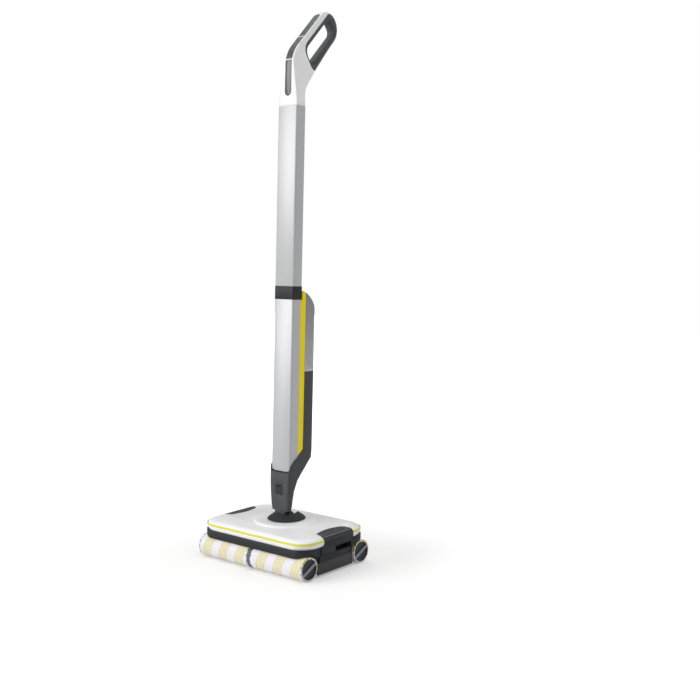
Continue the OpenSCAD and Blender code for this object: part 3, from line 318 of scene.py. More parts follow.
class Effects:
    """Shader node groups that several finishes share, each built once."""

    SURFACE = [("Colour", "NodeSocketColor"), ("Roughness", "NodeSocketFloat"), ("Height", "NodeSocketFloat")]
    DRIFT_SCALE = 9.0
    SMEAR_SCALE = 38.0
    FLAKE_SCALE = 1800.0
    LINE_SCALE = 420.0
    LINE_STRETCH = 0.012

    _built: dict[str, bpy.types.NodeTree] = {}

    @classmethod
    def grain(cls) -> bpy.types.NodeTree:
        """Return the group for moulded grain: slow colour drift, uneven gloss and a fine raised texture."""
        if "grain" not in cls._built:
            wiring = group_tree(
                "moulded_grain",
                [
                    ("Colour", "NodeSocketColor", (0.5, 0.5, 0.5, 1.0)),
                    ("Gloss", "NodeSocketFloat", 0.4),
                    ("Drift", "NodeSocketFloat", 0.05),
                    ("Grain Size", "NodeSocketFloat", 1500.0),
                    ("Handling", "NodeSocketFloat", 0.08),
                ],
                cls.SURFACE,
            )
            given = wiring.add("NodeGroupInput")
            result = wiring.add("NodeGroupOutput")
            place = wiring.place()
            slow = wiring.noise(place, cls.DRIFT_SCALE, 2.0)
            fine = wiring.noise(place, given.outputs["Grain Size"], 2.0)
            smear = wiring.noise(place, cls.SMEAR_SCALE, 4.0)
            drift = wiring.from_middle(slow, given.outputs["Drift"])
            speck = wiring.from_middle(fine, given.outputs["Drift"])
            level = wiring.math("ADD", wiring.math("ADD", drift, speck), 1.0)
            wiring.join(wiring.scaled(given.outputs["Colour"], level), result.inputs["Colour"])
            touched = wiring.from_middle(smear, given.outputs["Handling"])
            wiring.join(wiring.math("ADD", given.outputs["Gloss"], touched), result.inputs["Roughness"])
            wiring.join(fine, result.inputs["Height"])
            cls._built["grain"] = wiring.tree
        return cls._built["grain"]

    @classmethod
    def flakes(cls) -> bpy.types.NodeTree:
        """Return the group for metal paint: bright and dark flakes and faint draw lines along the height."""
        if "flakes" not in cls._built:
            wiring = group_tree(
                "metal_flakes",
                [
                    ("Colour", "NodeSocketColor", (0.6, 0.6, 0.6, 1.0)),
                    ("Gloss", "NodeSocketFloat", 0.35),
                    ("Sparkle", "NodeSocketFloat", 0.12),
                    ("Line Depth", "NodeSocketFloat", 0.05),
                ],
                cls.SURFACE,
            )
            given = wiring.add("NodeGroupInput")
            result = wiring.add("NodeGroupOutput")
            place = wiring.place()
            flake = wiring.add("ShaderNodeTexVoronoi")
            flake.inputs["Scale"].default_value = cls.FLAKE_SCALE
            wiring.join(place, flake.inputs["Vector"])
            stretch = wiring.add("ShaderNodeMapping")
            stretch.inputs["Scale"].default_value = (1.0, 1.0, cls.LINE_STRETCH)
            wiring.join(place, stretch.inputs["Vector"])
            lines = wiring.noise(stretch.outputs["Vector"], cls.LINE_SCALE, 3.0)
            flake_value = wiring.from_middle(flake.outputs["Color"], given.outputs["Sparkle"])
            line_value = wiring.from_middle(lines, given.outputs["Line Depth"])
            level = wiring.math("ADD", wiring.math("ADD", flake_value, line_value), 1.0)
            wiring.join(wiring.scaled(given.outputs["Colour"], level), result.inputs["Colour"])
            wiring.join(wiring.math("ADD", given.outputs["Gloss"], line_value), result.inputs["Roughness"])
            wiring.join(lines, result.inputs["Height"])
            cls._built["flakes"] = wiring.tree
        return cls._built["flakes"]


@dataclass(frozen=True)
class Finish:
    """A moulded plastic, rubber or plain metal finish with a fine grain."""

    name: str
    colour: Paint
    gloss: float = 0.4
    metallic: float = 0.0
    drift: float = 0.05
    grain_size: float = 1500.0
    grain_depth: float = 0.05
    handling: float = 0.08
    coat: float = 0.0
    sheen: float = 0.0
    specular: float = 0.5
    coat_roughness: float = 0.12
    grain_rise: float = mm(0.4)

    def start(self) -> tuple[bpy.types.Material, Wiring, Node]:
        """Start the material with its shader's plain values.

        Returns:
            The material, the wiring of its tree and its shader node.
        """
        material = bpy.data.materials.new(self.name)
        material.use_nodes = True
        wiring = Wiring(material.node_tree)
        shader = material.node_tree.nodes["Principled BSDF"]
        shader.inputs["Metallic"].default_value = self.metallic
        shader.inputs["Coat Weight"].default_value = self.coat
        shader.inputs["Coat Roughness"].default_value = self.coat_roughness
        shader.inputs["Sheen Weight"].default_value = self.sheen
        shader.inputs["Specular IOR Level"].default_value = self.specular
        return material, wiring, shader

    def dress(self, wiring: Wiring, shader: Node) -> None:
        """Join the shared grain to the shader.

        Args:
            wiring: The material's wiring.
            shader: Its shader node.
        """
        effect = wiring.add("ShaderNodeGroup", node_tree=Effects.grain())
        effect.inputs["Colour"].default_value = self.colour
        effect.inputs["Gloss"].default_value = self.gloss
        effect.inputs["Drift"].default_value = self.drift
        effect.inputs["Grain Size"].default_value = self.grain_size
        effect.inputs["Handling"].default_value = self.handling
        self.join_surface(wiring, shader, effect)
        wiring.emboss(shader, effect.outputs["Height"], self.grain_depth, self.grain_rise)

    @staticmethod
    def join_surface(wiring: Wiring, shader: Node, effect: Node) -> None:
        """Join an effect's colour and roughness to the shader.

        Args:
            wiring: The material's wiring.
            shader: Its shader node.
            effect: The group node that gives the two.
        """
        wiring.join(effect.outputs["Colour"], shader.inputs["Base Color"])
        wiring.join(effect.outputs["Roughness"], shader.inputs["Roughness"])

    def material(self) -> bpy.types.Material:
        """Return the material, building it the first time."""
        known = bpy.data.materials.get(self.name)
        if known is not None:
            return known
        material, wiring, shader = self.start()
        self.dress(wiring, shader)
        return material


@dataclass(frozen=True)
class MetalPaint(Finish):
    """Silver paint with metal flakes over a drawn tube.

    The crown times the square of X, in metres, is how far the front curves back towards its edges.
    """

    sparkle: float = 0.1
    line_depth: float = 0.06
    line_rise: float = mm(0.012)
    crown: float = 2.14

    def dress(self, wiring: Wiring, shader: Node) -> None:
        """Join the flakes to the shader and crown the tube's front a little.

        Args:
            wiring: The material's wiring.
            shader: Its shader node.
        """
        effect = wiring.add("ShaderNodeGroup", node_tree=Effects.flakes())
        effect.inputs["Colour"].default_value = self.colour
        effect.inputs["Gloss"].default_value = self.gloss
        effect.inputs["Sparkle"].default_value = self.sparkle
        effect.inputs["Line Depth"].default_value = self.line_depth
        self.join_surface(wiring, shader, effect)
        across = wiring.axes(wiring.place())[0]
        bow = wiring.math("MULTIPLY", wiring.math("MULTIPLY", across, across), -self.crown)
        height = wiring.math("MULTIPLY_ADD", effect.outputs["Height"], self.line_rise, bow)
        wiring.emboss(shader, height, 1.0, 1.0)


@dataclass(frozen=True)
class ClearPlastic(Finish):
    """Smoky see-through plastic of a water tank."""

    transmission: float = 0.4
    ior: float = 1.2
    seam_z: float = mm(424)
    seam_half: float = mm(1.6)
    seam_fade: float = mm(0.4)
    top_z: float = mm(590)
    shade: Paint = tone(170, 171, 174)
    seam: Paint = tone(236, 236, 230)

    def dress(self, wiring: Wiring, shader: Node) -> None:
        """Shade the plastic towards its top and paint a pale line along its seam.

        Args:
            wiring: The material's wiring.
            shader: Its shader node.
        """
        super().dress(wiring, shader)
        height = wiring.axes(wiring.place())[2]
        rise = wiring.add("ShaderNodeMapRange")
        wiring.join(height, rise.inputs["Value"])
        rise.inputs["From Min"].default_value = self.seam_z
        rise.inputs["From Max"].default_value = self.top_z
        wiring.paint_over(shader, rise.outputs["Result"], self.shade)
        near = wiring.math("ABSOLUTE", wiring.math("SUBTRACT", height, self.seam_z))
        wiring.paint_over(shader, wiring.band(near, self.seam_half, self.seam_fade), self.seam)

    def start(self) -> tuple[bpy.types.Material, Wiring, Node]:
        """Start the material and let light through it.

        Returns:
            The material, the wiring of its tree and its shader node.
        """
        material, wiring, shader = super().start()
        shader.inputs["Transmission Weight"].default_value = self.transmission
        shader.inputs["IOR"].default_value = self.ior
        return material, wiring, shader


@dataclass(frozen=True)
class SpiralPile(Finish):
    """White microfibre pile with pale yellow stripes that wind round the roller.

    The stripes come in groups of three. Each group turns once round the roller over one pitch. The shifts and
    the widths are shares of the pitch.
    """

    pitch: float = mm(50)
    row_y: float = mm(86)
    roller_r: float = mm(26)
    shift: float = -0.078
    side_shift: float = 0.342
    stripe_gap: float = 0.185
    stripe_width: float = 0.075
    outline_width: float = 0.115
    edge_fade: float = 0.008
    wobble: float = 0.03
    wobble_scale: float = 900.0
    tuft_scale: float = 700.0
    tuft_shade: float = 0.16
    tuft_rise: float = mm(0.8)
    clump_scale: float = 160.0
    clump_gloss: float = 0.1
    matt: float = 0.85
    stripe: Paint = tone(246, 238, 168)
    outline: Paint = tone(206, 184, 132)

    def turn_phase(self, wiring: Wiring, place: Socket) -> Socket:
        """Return where a point lies between two stripes, from 0 to 1.

        Args:
            wiring: The material's wiring.
            place: The object coordinates.

        Returns:
            The socket that gives it.
        """
        across, depth, height = wiring.axes(place)
        side = wiring.math("MULTIPLY", wiring.math("SIGN", depth), self.row_y)
        angle = wiring.math(
            "ARCTAN2", wiring.math("SUBTRACT", height, self.roller_r), wiring.math("SUBTRACT", depth, side)
        )
        turns = wiring.math("DIVIDE", angle, 2.0 * math.pi)
        along = wiring.math("ADD", wiring.math("DIVIDE", across, self.pitch), turns)
        shift = wiring.math("MULTIPLY_ADD", wiring.math("SIGN", across), self.side_shift, self.shift)
        return wiring.math("FRACT", wiring.math("ADD", along, shift))

    def dress(self, wiring: Wiring, shader: Node) -> None:
        """Paint the stripes and raise the pile.

        Args:
            wiring: The material's wiring.
            shader: Its shader node.
        """
        place = wiring.place()
        wobble = wiring.from_middle(wiring.noise(place, self.wobble_scale, 2.0), self.wobble)
        phase = wiring.math("ADD", self.turn_phase(wiring, place), wobble)
        colour: object = self.colour
        for centre, width, paint in self.bands():
            off = wiring.math("ABSOLUTE", wiring.math("SUBTRACT", phase, centre))
            colour = wiring.mix(wiring.band(off, width / 2.0, self.edge_fade), colour, paint)
        tufts = wiring.noise(place, self.tuft_scale, 4.0)
        clumps = wiring.noise(place, self.clump_scale, 2.0)
        shade = wiring.math("ADD", wiring.math("MULTIPLY", tufts, self.tuft_shade), 1.0 - self.tuft_shade / 2.0)
        wiring.join(wiring.scaled(colour, shade), shader.inputs["Base Color"])
        roughness = wiring.math("ADD", wiring.math("MULTIPLY", clumps, self.clump_gloss), self.matt)
        wiring.join(roughness, shader.inputs["Roughness"])
        wiring.emboss(shader, tufts, 0.5, self.tuft_rise)

    def bands(self) -> list[tuple[float, float, Paint]]:
        """Return each painted line's phase, width as a share of the pitch, and colour."""
        lines = [0.5 + step * self.stripe_gap for step in (-1, 0, 1)]
        layers = ((self.outline_width, self.outline), (self.stripe_width, self.stripe))
        return [(at, width, paint) for at in lines for width, paint in layers]


@dataclass(frozen=True)
class CapFace(Finish):
    """Grey plastic of a roller's end cap, with a paler bar across it.

    The turn is the bar's rise in degrees above the way to the rear.
    """

    row_y: float = mm(86)
    axle_z: float = mm(26)
    turn: float = 27.0
    bar_half: float = mm(3.6)
    bar_fade: float = mm(0.3)
    bar: Paint = tone(136, 141, 148)

    def dress(self, wiring: Wiring, shader: Node) -> None:
        """Paint the bar over the grain.

        Args:
            wiring: The material's wiring.
            shader: Its shader node.
        """
        super().dress(wiring, shader)
        _, depth, height = wiring.axes(wiring.place())
        side = wiring.math("MULTIPLY", wiring.math("SIGN", depth), self.row_y)
        angle = math.radians(self.turn)
        up = wiring.math("MULTIPLY", wiring.math("SUBTRACT", height, self.axle_z), math.cos(angle))
        back = wiring.math("MULTIPLY", wiring.math("SUBTRACT", depth, side), math.sin(angle))
        across = wiring.math("ABSOLUTE", wiring.math("SUBTRACT", up, back))
        wiring.paint_over(shader, wiring.band(across, self.bar_half, self.bar_fade), self.bar)


@dataclass(frozen=True)
class GripShell(Finish):
    """Dark plastic of a carrying grip, with a painted highlight on the crests of its ridges, over its top.

    The painted highlight's place, half width and fade are shares of the step from one ridge to the next.
    """

    first_x: float = mm(132)
    step: float = mm(5.5)
    highlight_at: float = 0.7
    highlight_half: float = 0.16
    highlight_fade: float = 0.06
    # The paler colour of the painted highlight on the ridge crests.
    painted_highlight: Paint = tone(112, 114, 118)
    low_z: float = mm(78)

    def dress(self, wiring: Wiring, shader: Node) -> None:
        """Paint the highlight on the ridge crests over the grain.

        Args:
            wiring: The material's wiring.
            shader: Its shader node.
        """
        super().dress(wiring, shader)
        across, _, height = wiring.axes(wiring.place())
        along = wiring.math("SUBTRACT", wiring.math("ABSOLUTE", across), self.first_x)
        turns = wiring.math("FRACT", wiring.math("DIVIDE", along, self.step))
        near = wiring.math("ABSOLUTE", wiring.math("SUBTRACT", turns, self.highlight_at))
        # Painted highlight: a paler line on each ridge's crest, only above low_z, where the ridges would catch the
        # light.
        high = wiring.math("GREATER_THAN", height, self.low_z)
        past = wiring.math("GREATER_THAN", along, -self.step)
        painted_highlight = wiring.band(near, self.highlight_half, self.highlight_fade)
        wiring.paint_over(shader, wiring.math("MULTIPLY", wiring.math("MULTIPLY", painted_highlight, high), past), self.painted_highlight)


WHITE_SHELL = Finish(
    "white_shell", tone(251, 251, 252), gloss=0.3, drift=0.01, grain_depth=0.01, handling=0.03, coat=0.2,
)
BLACK_SHELL = Finish(
    "black_shell", tone(40, 41, 44), gloss=0.5, drift=0.1, grain_size=2200.0, grain_depth=0.18, specular=0.3,
)
GREY_SHELL = Finish(
    "grey_shell", tone(72, 73, 75), gloss=0.5, drift=0.1, grain_size=2200.0, grain_depth=0.18, specular=0.3,
)
APRON_GREY = Finish("apron_grey", tone(62, 63, 65), gloss=0.42, drift=0.08, grain_depth=0.06, specular=0.35)
YELLOW_SHELL = Finish("yellow_shell", tone(250, 228, 6), gloss=0.36, drift=0.03, grain_depth=0.03, specular=0.25)
PALE_YELLOW = Finish("pale_yellow", tone(232, 228, 96), gloss=0.32, drift=0.03, grain_depth=0.03)
SILVER = MetalPaint("silver_paint", tone(195, 196, 198), gloss=0.42, metallic=0.22)
SOFT_GRIP = Finish(
    "soft_grip", tone(82, 84, 87), gloss=0.62, drift=0.08, grain_size=1200.0, grain_depth=0.3, sheen=0.1,
    specular=0.3,
)
KEY_GLOSS = Finish("key_gloss", tone(84, 86, 88), gloss=0.34, drift=0.04, grain_depth=0.03, coat=0.1, specular=0.35)
DISPLAY_GLOSS = Finish(
    "display_gloss", tone(88, 89, 90), gloss=0.26, drift=0.03, grain_depth=0.01, coat=0.2, specular=0.4,
)
RUBBER = Finish("black_rubber", tone(44, 45, 47), gloss=0.6, drift=0.1, grain_size=900.0, grain_depth=0.25)
RING_GREEN = Finish("ring_green", tone(4, 34, 22), gloss=0.5, drift=0.08, grain_depth=0.1, specular=0.1)
STEEL = Finish("turned_steel", tone(180, 184, 188), gloss=0.3, metallic=1.0, drift=0.06, grain_depth=0.08)
BRASS = Finish("contact_brass", tone(214, 184, 110), gloss=0.28, metallic=1.0, drift=0.05, grain_depth=0.05)
GEAR_WHITE = Finish("gear_white", tone(226, 225, 218), gloss=0.4, drift=0.04, grain_depth=0.08)
BOARD_GREEN = Finish("board_green", tone(52, 112, 74), gloss=0.34, drift=0.15, grain_size=500.0, grain_depth=0.1)
HOSE_GREY = Finish("hose_grey", tone(150, 154, 158), gloss=0.5, drift=0.06, grain_depth=0.1)
CELL_WRAP = Finish("cell_wrap", tone(58, 76, 96), gloss=0.3, drift=0.06, grain_depth=0.08)
WATER_BAR = Finish("water_bar", tone(204, 208, 211), gloss=0.34, drift=0.04, grain_depth=0.05)
SMOKE = ClearPlastic("smoky_tank", tone(208, 209, 211), gloss=0.2, drift=0.04, grain_depth=0.02)
PILE = SpiralPile("spiral_pile", tone(244, 242, 248), sheen=0.25)
GRIP_SHELL = GripShell(
    "grip_shell", tone(44, 45, 48), gloss=0.5, drift=0.1, grain_size=2200.0, grain_depth=0.18, specular=0.3,
)
CAP_GREY = CapFace("cap_grey", tone(56, 60, 66), gloss=0.46, drift=0.12, grain_depth=0.15, specular=0.35)
CORE_GREY = Finish("core_grey", tone(84, 86, 88), gloss=0.5, drift=0.06, grain_depth=0.1)

NODE_FINISH: dict[str, Finish] = {
    "head_chassis": BLACK_SHELL, "underbody_plate": GREY_SHELL, "head_cover": WHITE_SHELL,
    "trim_stripe": PALE_YELLOW, "wiper_blades": RUBBER, "water_bars": WATER_BAR, "drive_motor": GREY_SHELL,
    "gear_case": RING_GREEN, "gear_case_lid": RING_GREEN, "shaft_bearings": STEEL, "idler_pins": STEEL,
    "head_screws": STEEL, "charge_contacts": BRASS, "motor_rotor": STEEL, "motor_pinion": STEEL,
    "front_idler": GEAR_WHITE, "rear_idler_inner": GEAR_WHITE, "rear_idler_outer": GEAR_WHITE,
    "front_shaft": STEEL, "front_gear": STEEL, "rear_shaft": STEEL, "rear_gear": STEEL,
    "dirty_tank_left": APRON_GREY, "dirty_tank_right": APRON_GREY, "tank_grip_left": GRIP_SHELL,
    "tank_grip_right": GRIP_SHELL, "swivel_yoke": BLACK_SHELL, "hinge_pin": STEEL, "swivel_retainer": STEEL,
    "neck_housing": GREY_SHELL, "front_shell": SILVER, "side_frame": YELLOW_SHELL, "pole_coupling": BLACK_SHELL,
    "upper_tube": SILVER, "battery_pack": CELL_WRAP, "water_pump": GREY_SHELL, "water_hose": HOSE_GREY,
    "control_board": BOARD_GREEN, "handle_shell": WHITE_SHELL, "handle_grip": SOFT_GRIP,
    "status_display": DISPLAY_GLOSS, "power_button": KEY_GLOSS, "boost_button": KEY_GLOSS,
    "tank_release": BLACK_SHELL, "neck_button": BLACK_SHELL, "fresh_tank": SMOKE, "tank_cap": YELLOW_SHELL,
    "tank_valve": RUBBER,
}


# ---- modelling helpers ----


class Bench:
    """Selection, edit mode and modifiers, one piece at a time."""

    @staticmethod
    def hold(piece: Piece) -> None:
        """Select one piece alone and make it active.

        Args:
            piece: The piece.
        """
        bpy.ops.object.select_all(action="DESELECT")
        piece.select_set(True)
        bpy.context.view_layer.objects.active = piece

    @staticmethod
    def settle(piece: Piece, name: str) -> Piece:
        """Name a new piece and move its place into its mesh.

        Args:
            piece: The object, still with its own place and turn.
            name: Its name.

        Returns:
            The same object, at the origin.
        """
        Bench.hold(piece)
        piece.name = name
        piece.data.name = name
        bpy.ops.object.transform_apply(location=True, rotation=True, scale=True)
        return piece

    @staticmethod
    def modify(piece: Piece, kind: str, **settings: object) -> None:
        """Add a modifier and apply it.

        Args:
            piece: The piece.
            kind: The modifier's type name.
            **settings: Its properties, by name.
        """
        Bench.hold(piece)
        modifier = piece.modifiers.new(kind.lower(), kind)
        for key, value in settings.items():
            setattr(modifier, key, value)
        bpy.ops.object.modifier_apply(modifier=modifier.name)

    @staticmethod
    def smooth(piece: Piece, angle: float) -> None:
        """Shade a piece smooth, except over its sharp edges.

        Args:
            piece: The piece.
            angle: The angle in degrees from which an edge is sharp.
        """
        Bench.hold(piece)
        bpy.ops.object.shade_smooth_by_angle(angle=math.radians(angle))

    @staticmethod
    def outward(piece: Piece) -> None:
        """Merge a piece's doubles and point its faces outwards.

        Args:
            piece: The piece.
        """
        Bench.hold(piece)
        bpy.ops.object.mode_set(mode="EDIT")
        bpy.ops.mesh.select_all(action="SELECT")
        bpy.ops.mesh.remove_doubles(threshold=1e-6)
        bpy.ops.mesh.normals_make_consistent(inside=False)
        bpy.ops.object.mode_set(mode="OBJECT")

    @staticmethod
    def pick_faces(piece: Piece, test: Callable[[Vector, Vector], bool]) -> None:
        """Select the faces whose centre and normal pass a test, in object mode.

        Args:
            piece: The piece.
            test: A function of a face's centre and normal.
        """
        mesh = piece.data
        mesh.vertices.foreach_set("select", [False] * len(mesh.vertices))
        mesh.edges.foreach_set("select", [False] * len(mesh.edges))
        picked = [bool(test(face.center, face.normal)) for face in mesh.polygons]
        mesh.polygons.foreach_set("select", picked)


@dataclass
class Dressed:
    """A CAD node's own form with merged faces, softened edges and a finish."""

    node: str
    finish: Finish
    edge: float = mm(0.5)
    flat: float = 0.6
    smooth_angle: float = 34.0
    limit: float = 32.0

    def build(self) -> Piece:
        """Copy the node, soften its edges and put the copy in its place.

        Returns:
            The new piece.
        """
        source = frame["nodes"][self.node]
        mesh = source.data.copy()
        piece = bpy.data.objects.new(f"{self.node}_shape", mesh)
        bpy.context.scene.collection.objects.link(piece)
        mesh.name = piece.name
        Bench.hold(piece)
        bpy.ops.object.mode_set(mode="EDIT")
        bpy.ops.mesh.select_all(action="SELECT")
        bpy.ops.mesh.customdata_custom_splitnormals_clear()
        bpy.ops.mesh.remove_doubles(threshold=2e-6)
        bpy.ops.mesh.dissolve_limited(angle_limit=math.radians(self.flat), use_dissolve_boundaries=False)
        bpy.ops.object.mode_set(mode="OBJECT")
        if self.edge > 0.0:
            Bench.modify(
                piece, "BEVEL", width=self.edge, segments=2, limit_method="ANGLE",
                angle_limit=math.radians(self.limit), use_clamp_overlap=True, miter_outer="MITER_ARC",
            )
        Bench.smooth(piece, self.smooth_angle)
        mesh = piece.data
        mesh.materials.clear()
        mesh.materials.append(self.finish.material())
        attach(piece, source["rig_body"])
        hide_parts(self.node)
        LOG.info("%s: %d faces", piece.name, len(mesh.polygons))
        return piece


# ---- the machine ----


class Row(Enum):
    """A row of rollers, with the sign of its place along Y."""

    FRONT = ("front", -1.0)
    REAR = ("rear", 1.0)


class Side(Enum):
    """A side of the machine, with the sign of its place along X."""

    LEFT = ("left", -1.0)
    RIGHT = ("right", 1.0)


@dataclass
class Rollers:
    """The four driven rollers: spiral-striped pile sleeves with rounded shoulders."""

    radius: float = mm(26)
    row_y: float = mm(86)
    inner: float = mm(5)
    outer: float = mm(154.5)
    cap_r: float = mm(21.7)
    cap_depth: float = mm(3.4)
    shoulder: float = mm(3.2)
    around: int = 96
    along: int = 56
    tuft: float = mm(0.35)
    tuft_size: float = mm(4)
    tuft_swing: float = 1.6
    smooth_angle: float = 60.0
    end_facing: float = 0.9

    def sleeve(self) -> Piece:
        """Model one sleeve, front right, from a ring that is drawn out and closed over its ends.

        Returns:
            The sleeve, with its place in its mesh.
        """
        middle = (self.inner + self.outer) / 2.0
        length = self.outer - self.inner
        bpy.ops.object.select_all(action="DESELECT")
        bpy.ops.mesh.primitive_cylinder_add(
            vertices=self.around, radius=self.radius - self.tuft, depth=length, end_fill_type="NGON",
            location=(middle, -self.row_y, self.radius), rotation=(0.0, math.pi / 2.0, 0.0),
        )
        piece = Bench.settle(bpy.context.active_object, "pile_front_right")
        Bench.pick_faces(piece, lambda centre, normal: abs(normal.x) > self.end_facing)
        bpy.ops.object.mode_set(mode="EDIT")
        bpy.ops.mesh.select_mode(type="FACE")
        bpy.ops.mesh.inset(thickness=self.radius - self.tuft - self.cap_r, use_individual=True)
        bpy.ops.object.mode_set(mode="OBJECT")
        for sign in (1.0, -1.0):
            inside = sign * length / 2.0 + middle
            Bench.pick_faces(
                piece,
                lambda centre, normal: abs(normal.x) > self.end_facing
                and abs(centre.x - inside) < mm(0.1)
                and Vector((0.0, centre.y + self.row_y, centre.z - self.radius)).length < mm(1),
            )
            bpy.ops.object.mode_set(mode="EDIT")
            bpy.ops.mesh.extrude_region_move(TRANSFORM_OT_translate={"value": (-sign * self.cap_depth, 0.0, 0.0)})
            bpy.ops.object.mode_set(mode="OBJECT")
        Bench.modify(
            piece, "BEVEL", width=self.shoulder, segments=4, limit_method="ANGLE", angle_limit=math.radians(60),
        )
        self.divide(piece)
        return piece

    def divide(self, piece: Piece) -> None:
        """Cut the long faces across, so that the pile can be raised.

        Args:
            piece: The sleeve.
        """
        mesh = piece.data
        mesh.polygons.foreach_set("select", [False] * len(mesh.polygons))
        mesh.vertices.foreach_set("select", [False] * len(mesh.vertices))
        long_edges = []
        for edge in mesh.edges:
            start, end = (mesh.vertices[i].co for i in edge.vertices)
            long_edges.append(abs(start.x - end.x) > mm(100))
        mesh.edges.foreach_set("select", long_edges)
        bpy.ops.object.mode_set(mode="EDIT")
        bpy.ops.mesh.select_mode(type="EDGE")
        bpy.ops.object.mode_set(mode="OBJECT")
        mesh.edges.foreach_set("select", long_edges)
        bpy.ops.object.mode_set(mode="EDIT")
        bpy.ops.mesh.subdivide(number_cuts=self.along)
        bpy.ops.mesh.select_mode(type="FACE")
        bpy.ops.object.mode_set(mode="OBJECT")

    def raise_pile(self, piece: Piece) -> None:
        """Push the sleeve's skin in and out by a fine noise, as short tufts stand.

        Args:
            piece: The sleeve.
        """
        tufts = bpy.data.textures.get("tufts") or bpy.data.textures.new("tufts", "CLOUDS")
        tufts.noise_scale = self.tuft_size
        Bench.modify(
            piece, "DISPLACE", texture=tufts, texture_coords="LOCAL", strength=self.tuft * self.tuft_swing,
            mid_level=0.5,
        )

    def build(self) -> None:
        """Build the four sleeves."""
        first = self.sleeve()
        plain = first.data.copy()
        for row in Row:
            for side in Side:
                label = f"{row.value[0]}_{side.value[0]}"
                if row is Row.FRONT and side is Side.RIGHT:
                    piece = first
                else:
                    piece = bpy.data.objects.new(f"pile_{label}", plain.copy())
                    bpy.context.scene.collection.objects.link(piece)
                    piece.data.transform(Matrix.Diagonal((side.value[1], -row.value[1], 1.0, 1.0)))
                    Bench.outward(piece)
                piece.name = f"pile_{label}"
                self.raise_pile(piece)
                Bench.smooth(piece, self.smooth_angle)
                piece.data.materials.clear()
                piece.data.materials.append(PILE.material())
                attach(piece, f"{label}_roller")
                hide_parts(f"{label}_pile")
                LOG.info("%s: %d faces", piece.name, len(piece.data.polygons))


@dataclass
class Head:
    """The low head with its cover, grips and rollers."""

    cap_turn: float = -98.0

    def turn_cap(self, cap: Piece, row: Row) -> None:
        """Turn a dressed roller cap about its axle, so that its bar lies as it should at rest.

        Args:
            cap: The dressed cap.
            row: The cap's row.
        """
        axle = Vector((0.0, row.value[1] * CAP_GREY.row_y, CAP_GREY.axle_z))
        turn = Matrix.Rotation(math.radians(self.cap_turn), 4, "X")
        cap.data.transform(Matrix.Translation(axle) @ turn @ Matrix.Translation(-axle))

    def build(self) -> None:
        """Dress the head's outer pieces."""
        Dressed("head_cover", WHITE_SHELL, edge=mm(0.6)).build()
        Dressed("head_chassis", BLACK_SHELL, edge=mm(0.8)).build()
        for side in Side:
            Dressed(f"tank_grip_{side.value[0]}", GRIP_SHELL).build()
            Dressed(f"dirty_tank_{side.value[0]}", APRON_GREY).build()
        Dressed("trim_stripe", PALE_YELLOW, edge=0.0).build()
        Dressed("gear_case", RING_GREEN, edge=mm(0.4)).build()
        Dressed("gear_case_lid", RING_GREEN, edge=mm(0.2)).build()
        Rollers().build()
        for row in Row:
            for side in Side:
                label = f"{row.value[0]}_{side.value[0]}"
                self.turn_cap(Dressed(f"{label}_cap", CAP_GREY, edge=mm(0.4)).build(), row)


@dataclass
class Pole:
    """The foot joint, the pole and the fresh water tank.

    The skirt and waist sizes give the straight cone that the foot joint's skirt is brought down to.
    """

    yoke_y: float = mm(11.3)
    skirt_r: float = mm(43)
    skirt_z: float = mm(91.3)
    waist_r: float = mm(23)
    waist_z: float = mm(109.5)
    rim_z: float = mm(92.5)
    low_z: float = mm(92.1)

    def slim_skirt(self, piece: Piece) -> None:
        """Bring the skirt of the foot joint down to a straight cone.

        Args:
            piece: The dressed foot joint.
        """
        fall = (self.waist_z - self.skirt_z) / (self.skirt_r - self.waist_r)
        for vertex in piece.data.vertices:
            away = math.hypot(vertex.co.x, vertex.co.y - self.yoke_y)
            if away > self.waist_r:
                top = self.rim_z + (self.skirt_r - away) * fall
                vertex.co.z = min(vertex.co.z, max(top, self.low_z))
        piece.data.update()

    def build(self) -> None:
        """Dress the foot, the shells, the frame, the tube and the tank."""
        self.slim_skirt(Dressed("swivel_yoke", BLACK_SHELL, edge=mm(0.6)).build())
        Dressed("neck_housing", GREY_SHELL, edge=mm(0.6), flat=1.5).build()
        Dressed("neck_button", BLACK_SHELL, edge=mm(0.25)).build()
        Dressed("front_shell", SILVER, edge=mm(0.4)).build()
        Dressed("side_frame", YELLOW_SHELL, edge=mm(0.8)).build()
        Dressed("pole_coupling", BLACK_SHELL).build()
        Dressed("upper_tube", SILVER, edge=mm(0.3)).build()
        Dressed("tank_release", BLACK_SHELL, edge=mm(0.8)).build()
        Dressed("fresh_tank", SMOKE).build()


@dataclass
class Handle:
    """The white handle with its soft loop, display and buttons."""

    def build(self) -> None:
        """Dress the shell, the liner and the strips on the front."""
        Dressed("handle_shell", WHITE_SHELL, flat=1.5).build()
        Dressed("handle_grip", SOFT_GRIP, edge=mm(2.0), flat=1.5, limit=40.0).build()
        Dressed("status_display", DISPLAY_GLOSS).build()
        Dressed("power_button", KEY_GLOSS, edge=mm(0.8)).build()
        Dressed("boost_button", KEY_GLOSS, edge=mm(0.8)).build()


# ---- studio ----


@dataclass(frozen=True)
class Lamp:
    """A soft lamp that is far away."""

    name: str
    level: float
    spread: float
    place: tuple[float, float, float]
    aim: tuple[float, float, float] = (0.0, 0.0, 0.4)

    def hang(self) -> None:
        """Hang the lamp out of the camera's sight, turned towards its aim."""
        data = bpy.data.lights.new(self.name, "SUN")
        data.energy = self.level
        data.angle = math.radians(self.spread)
        lamp = bpy.data.objects.new(data.name, data)
        bpy.context.scene.collection.objects.link(lamp)
        lamp.location = self.place
        lamp.rotation_euler = (Vector(self.aim) - Vector(self.place)).to_track_quat("-Z", "Y").to_euler()
        lamp.visible_camera = False


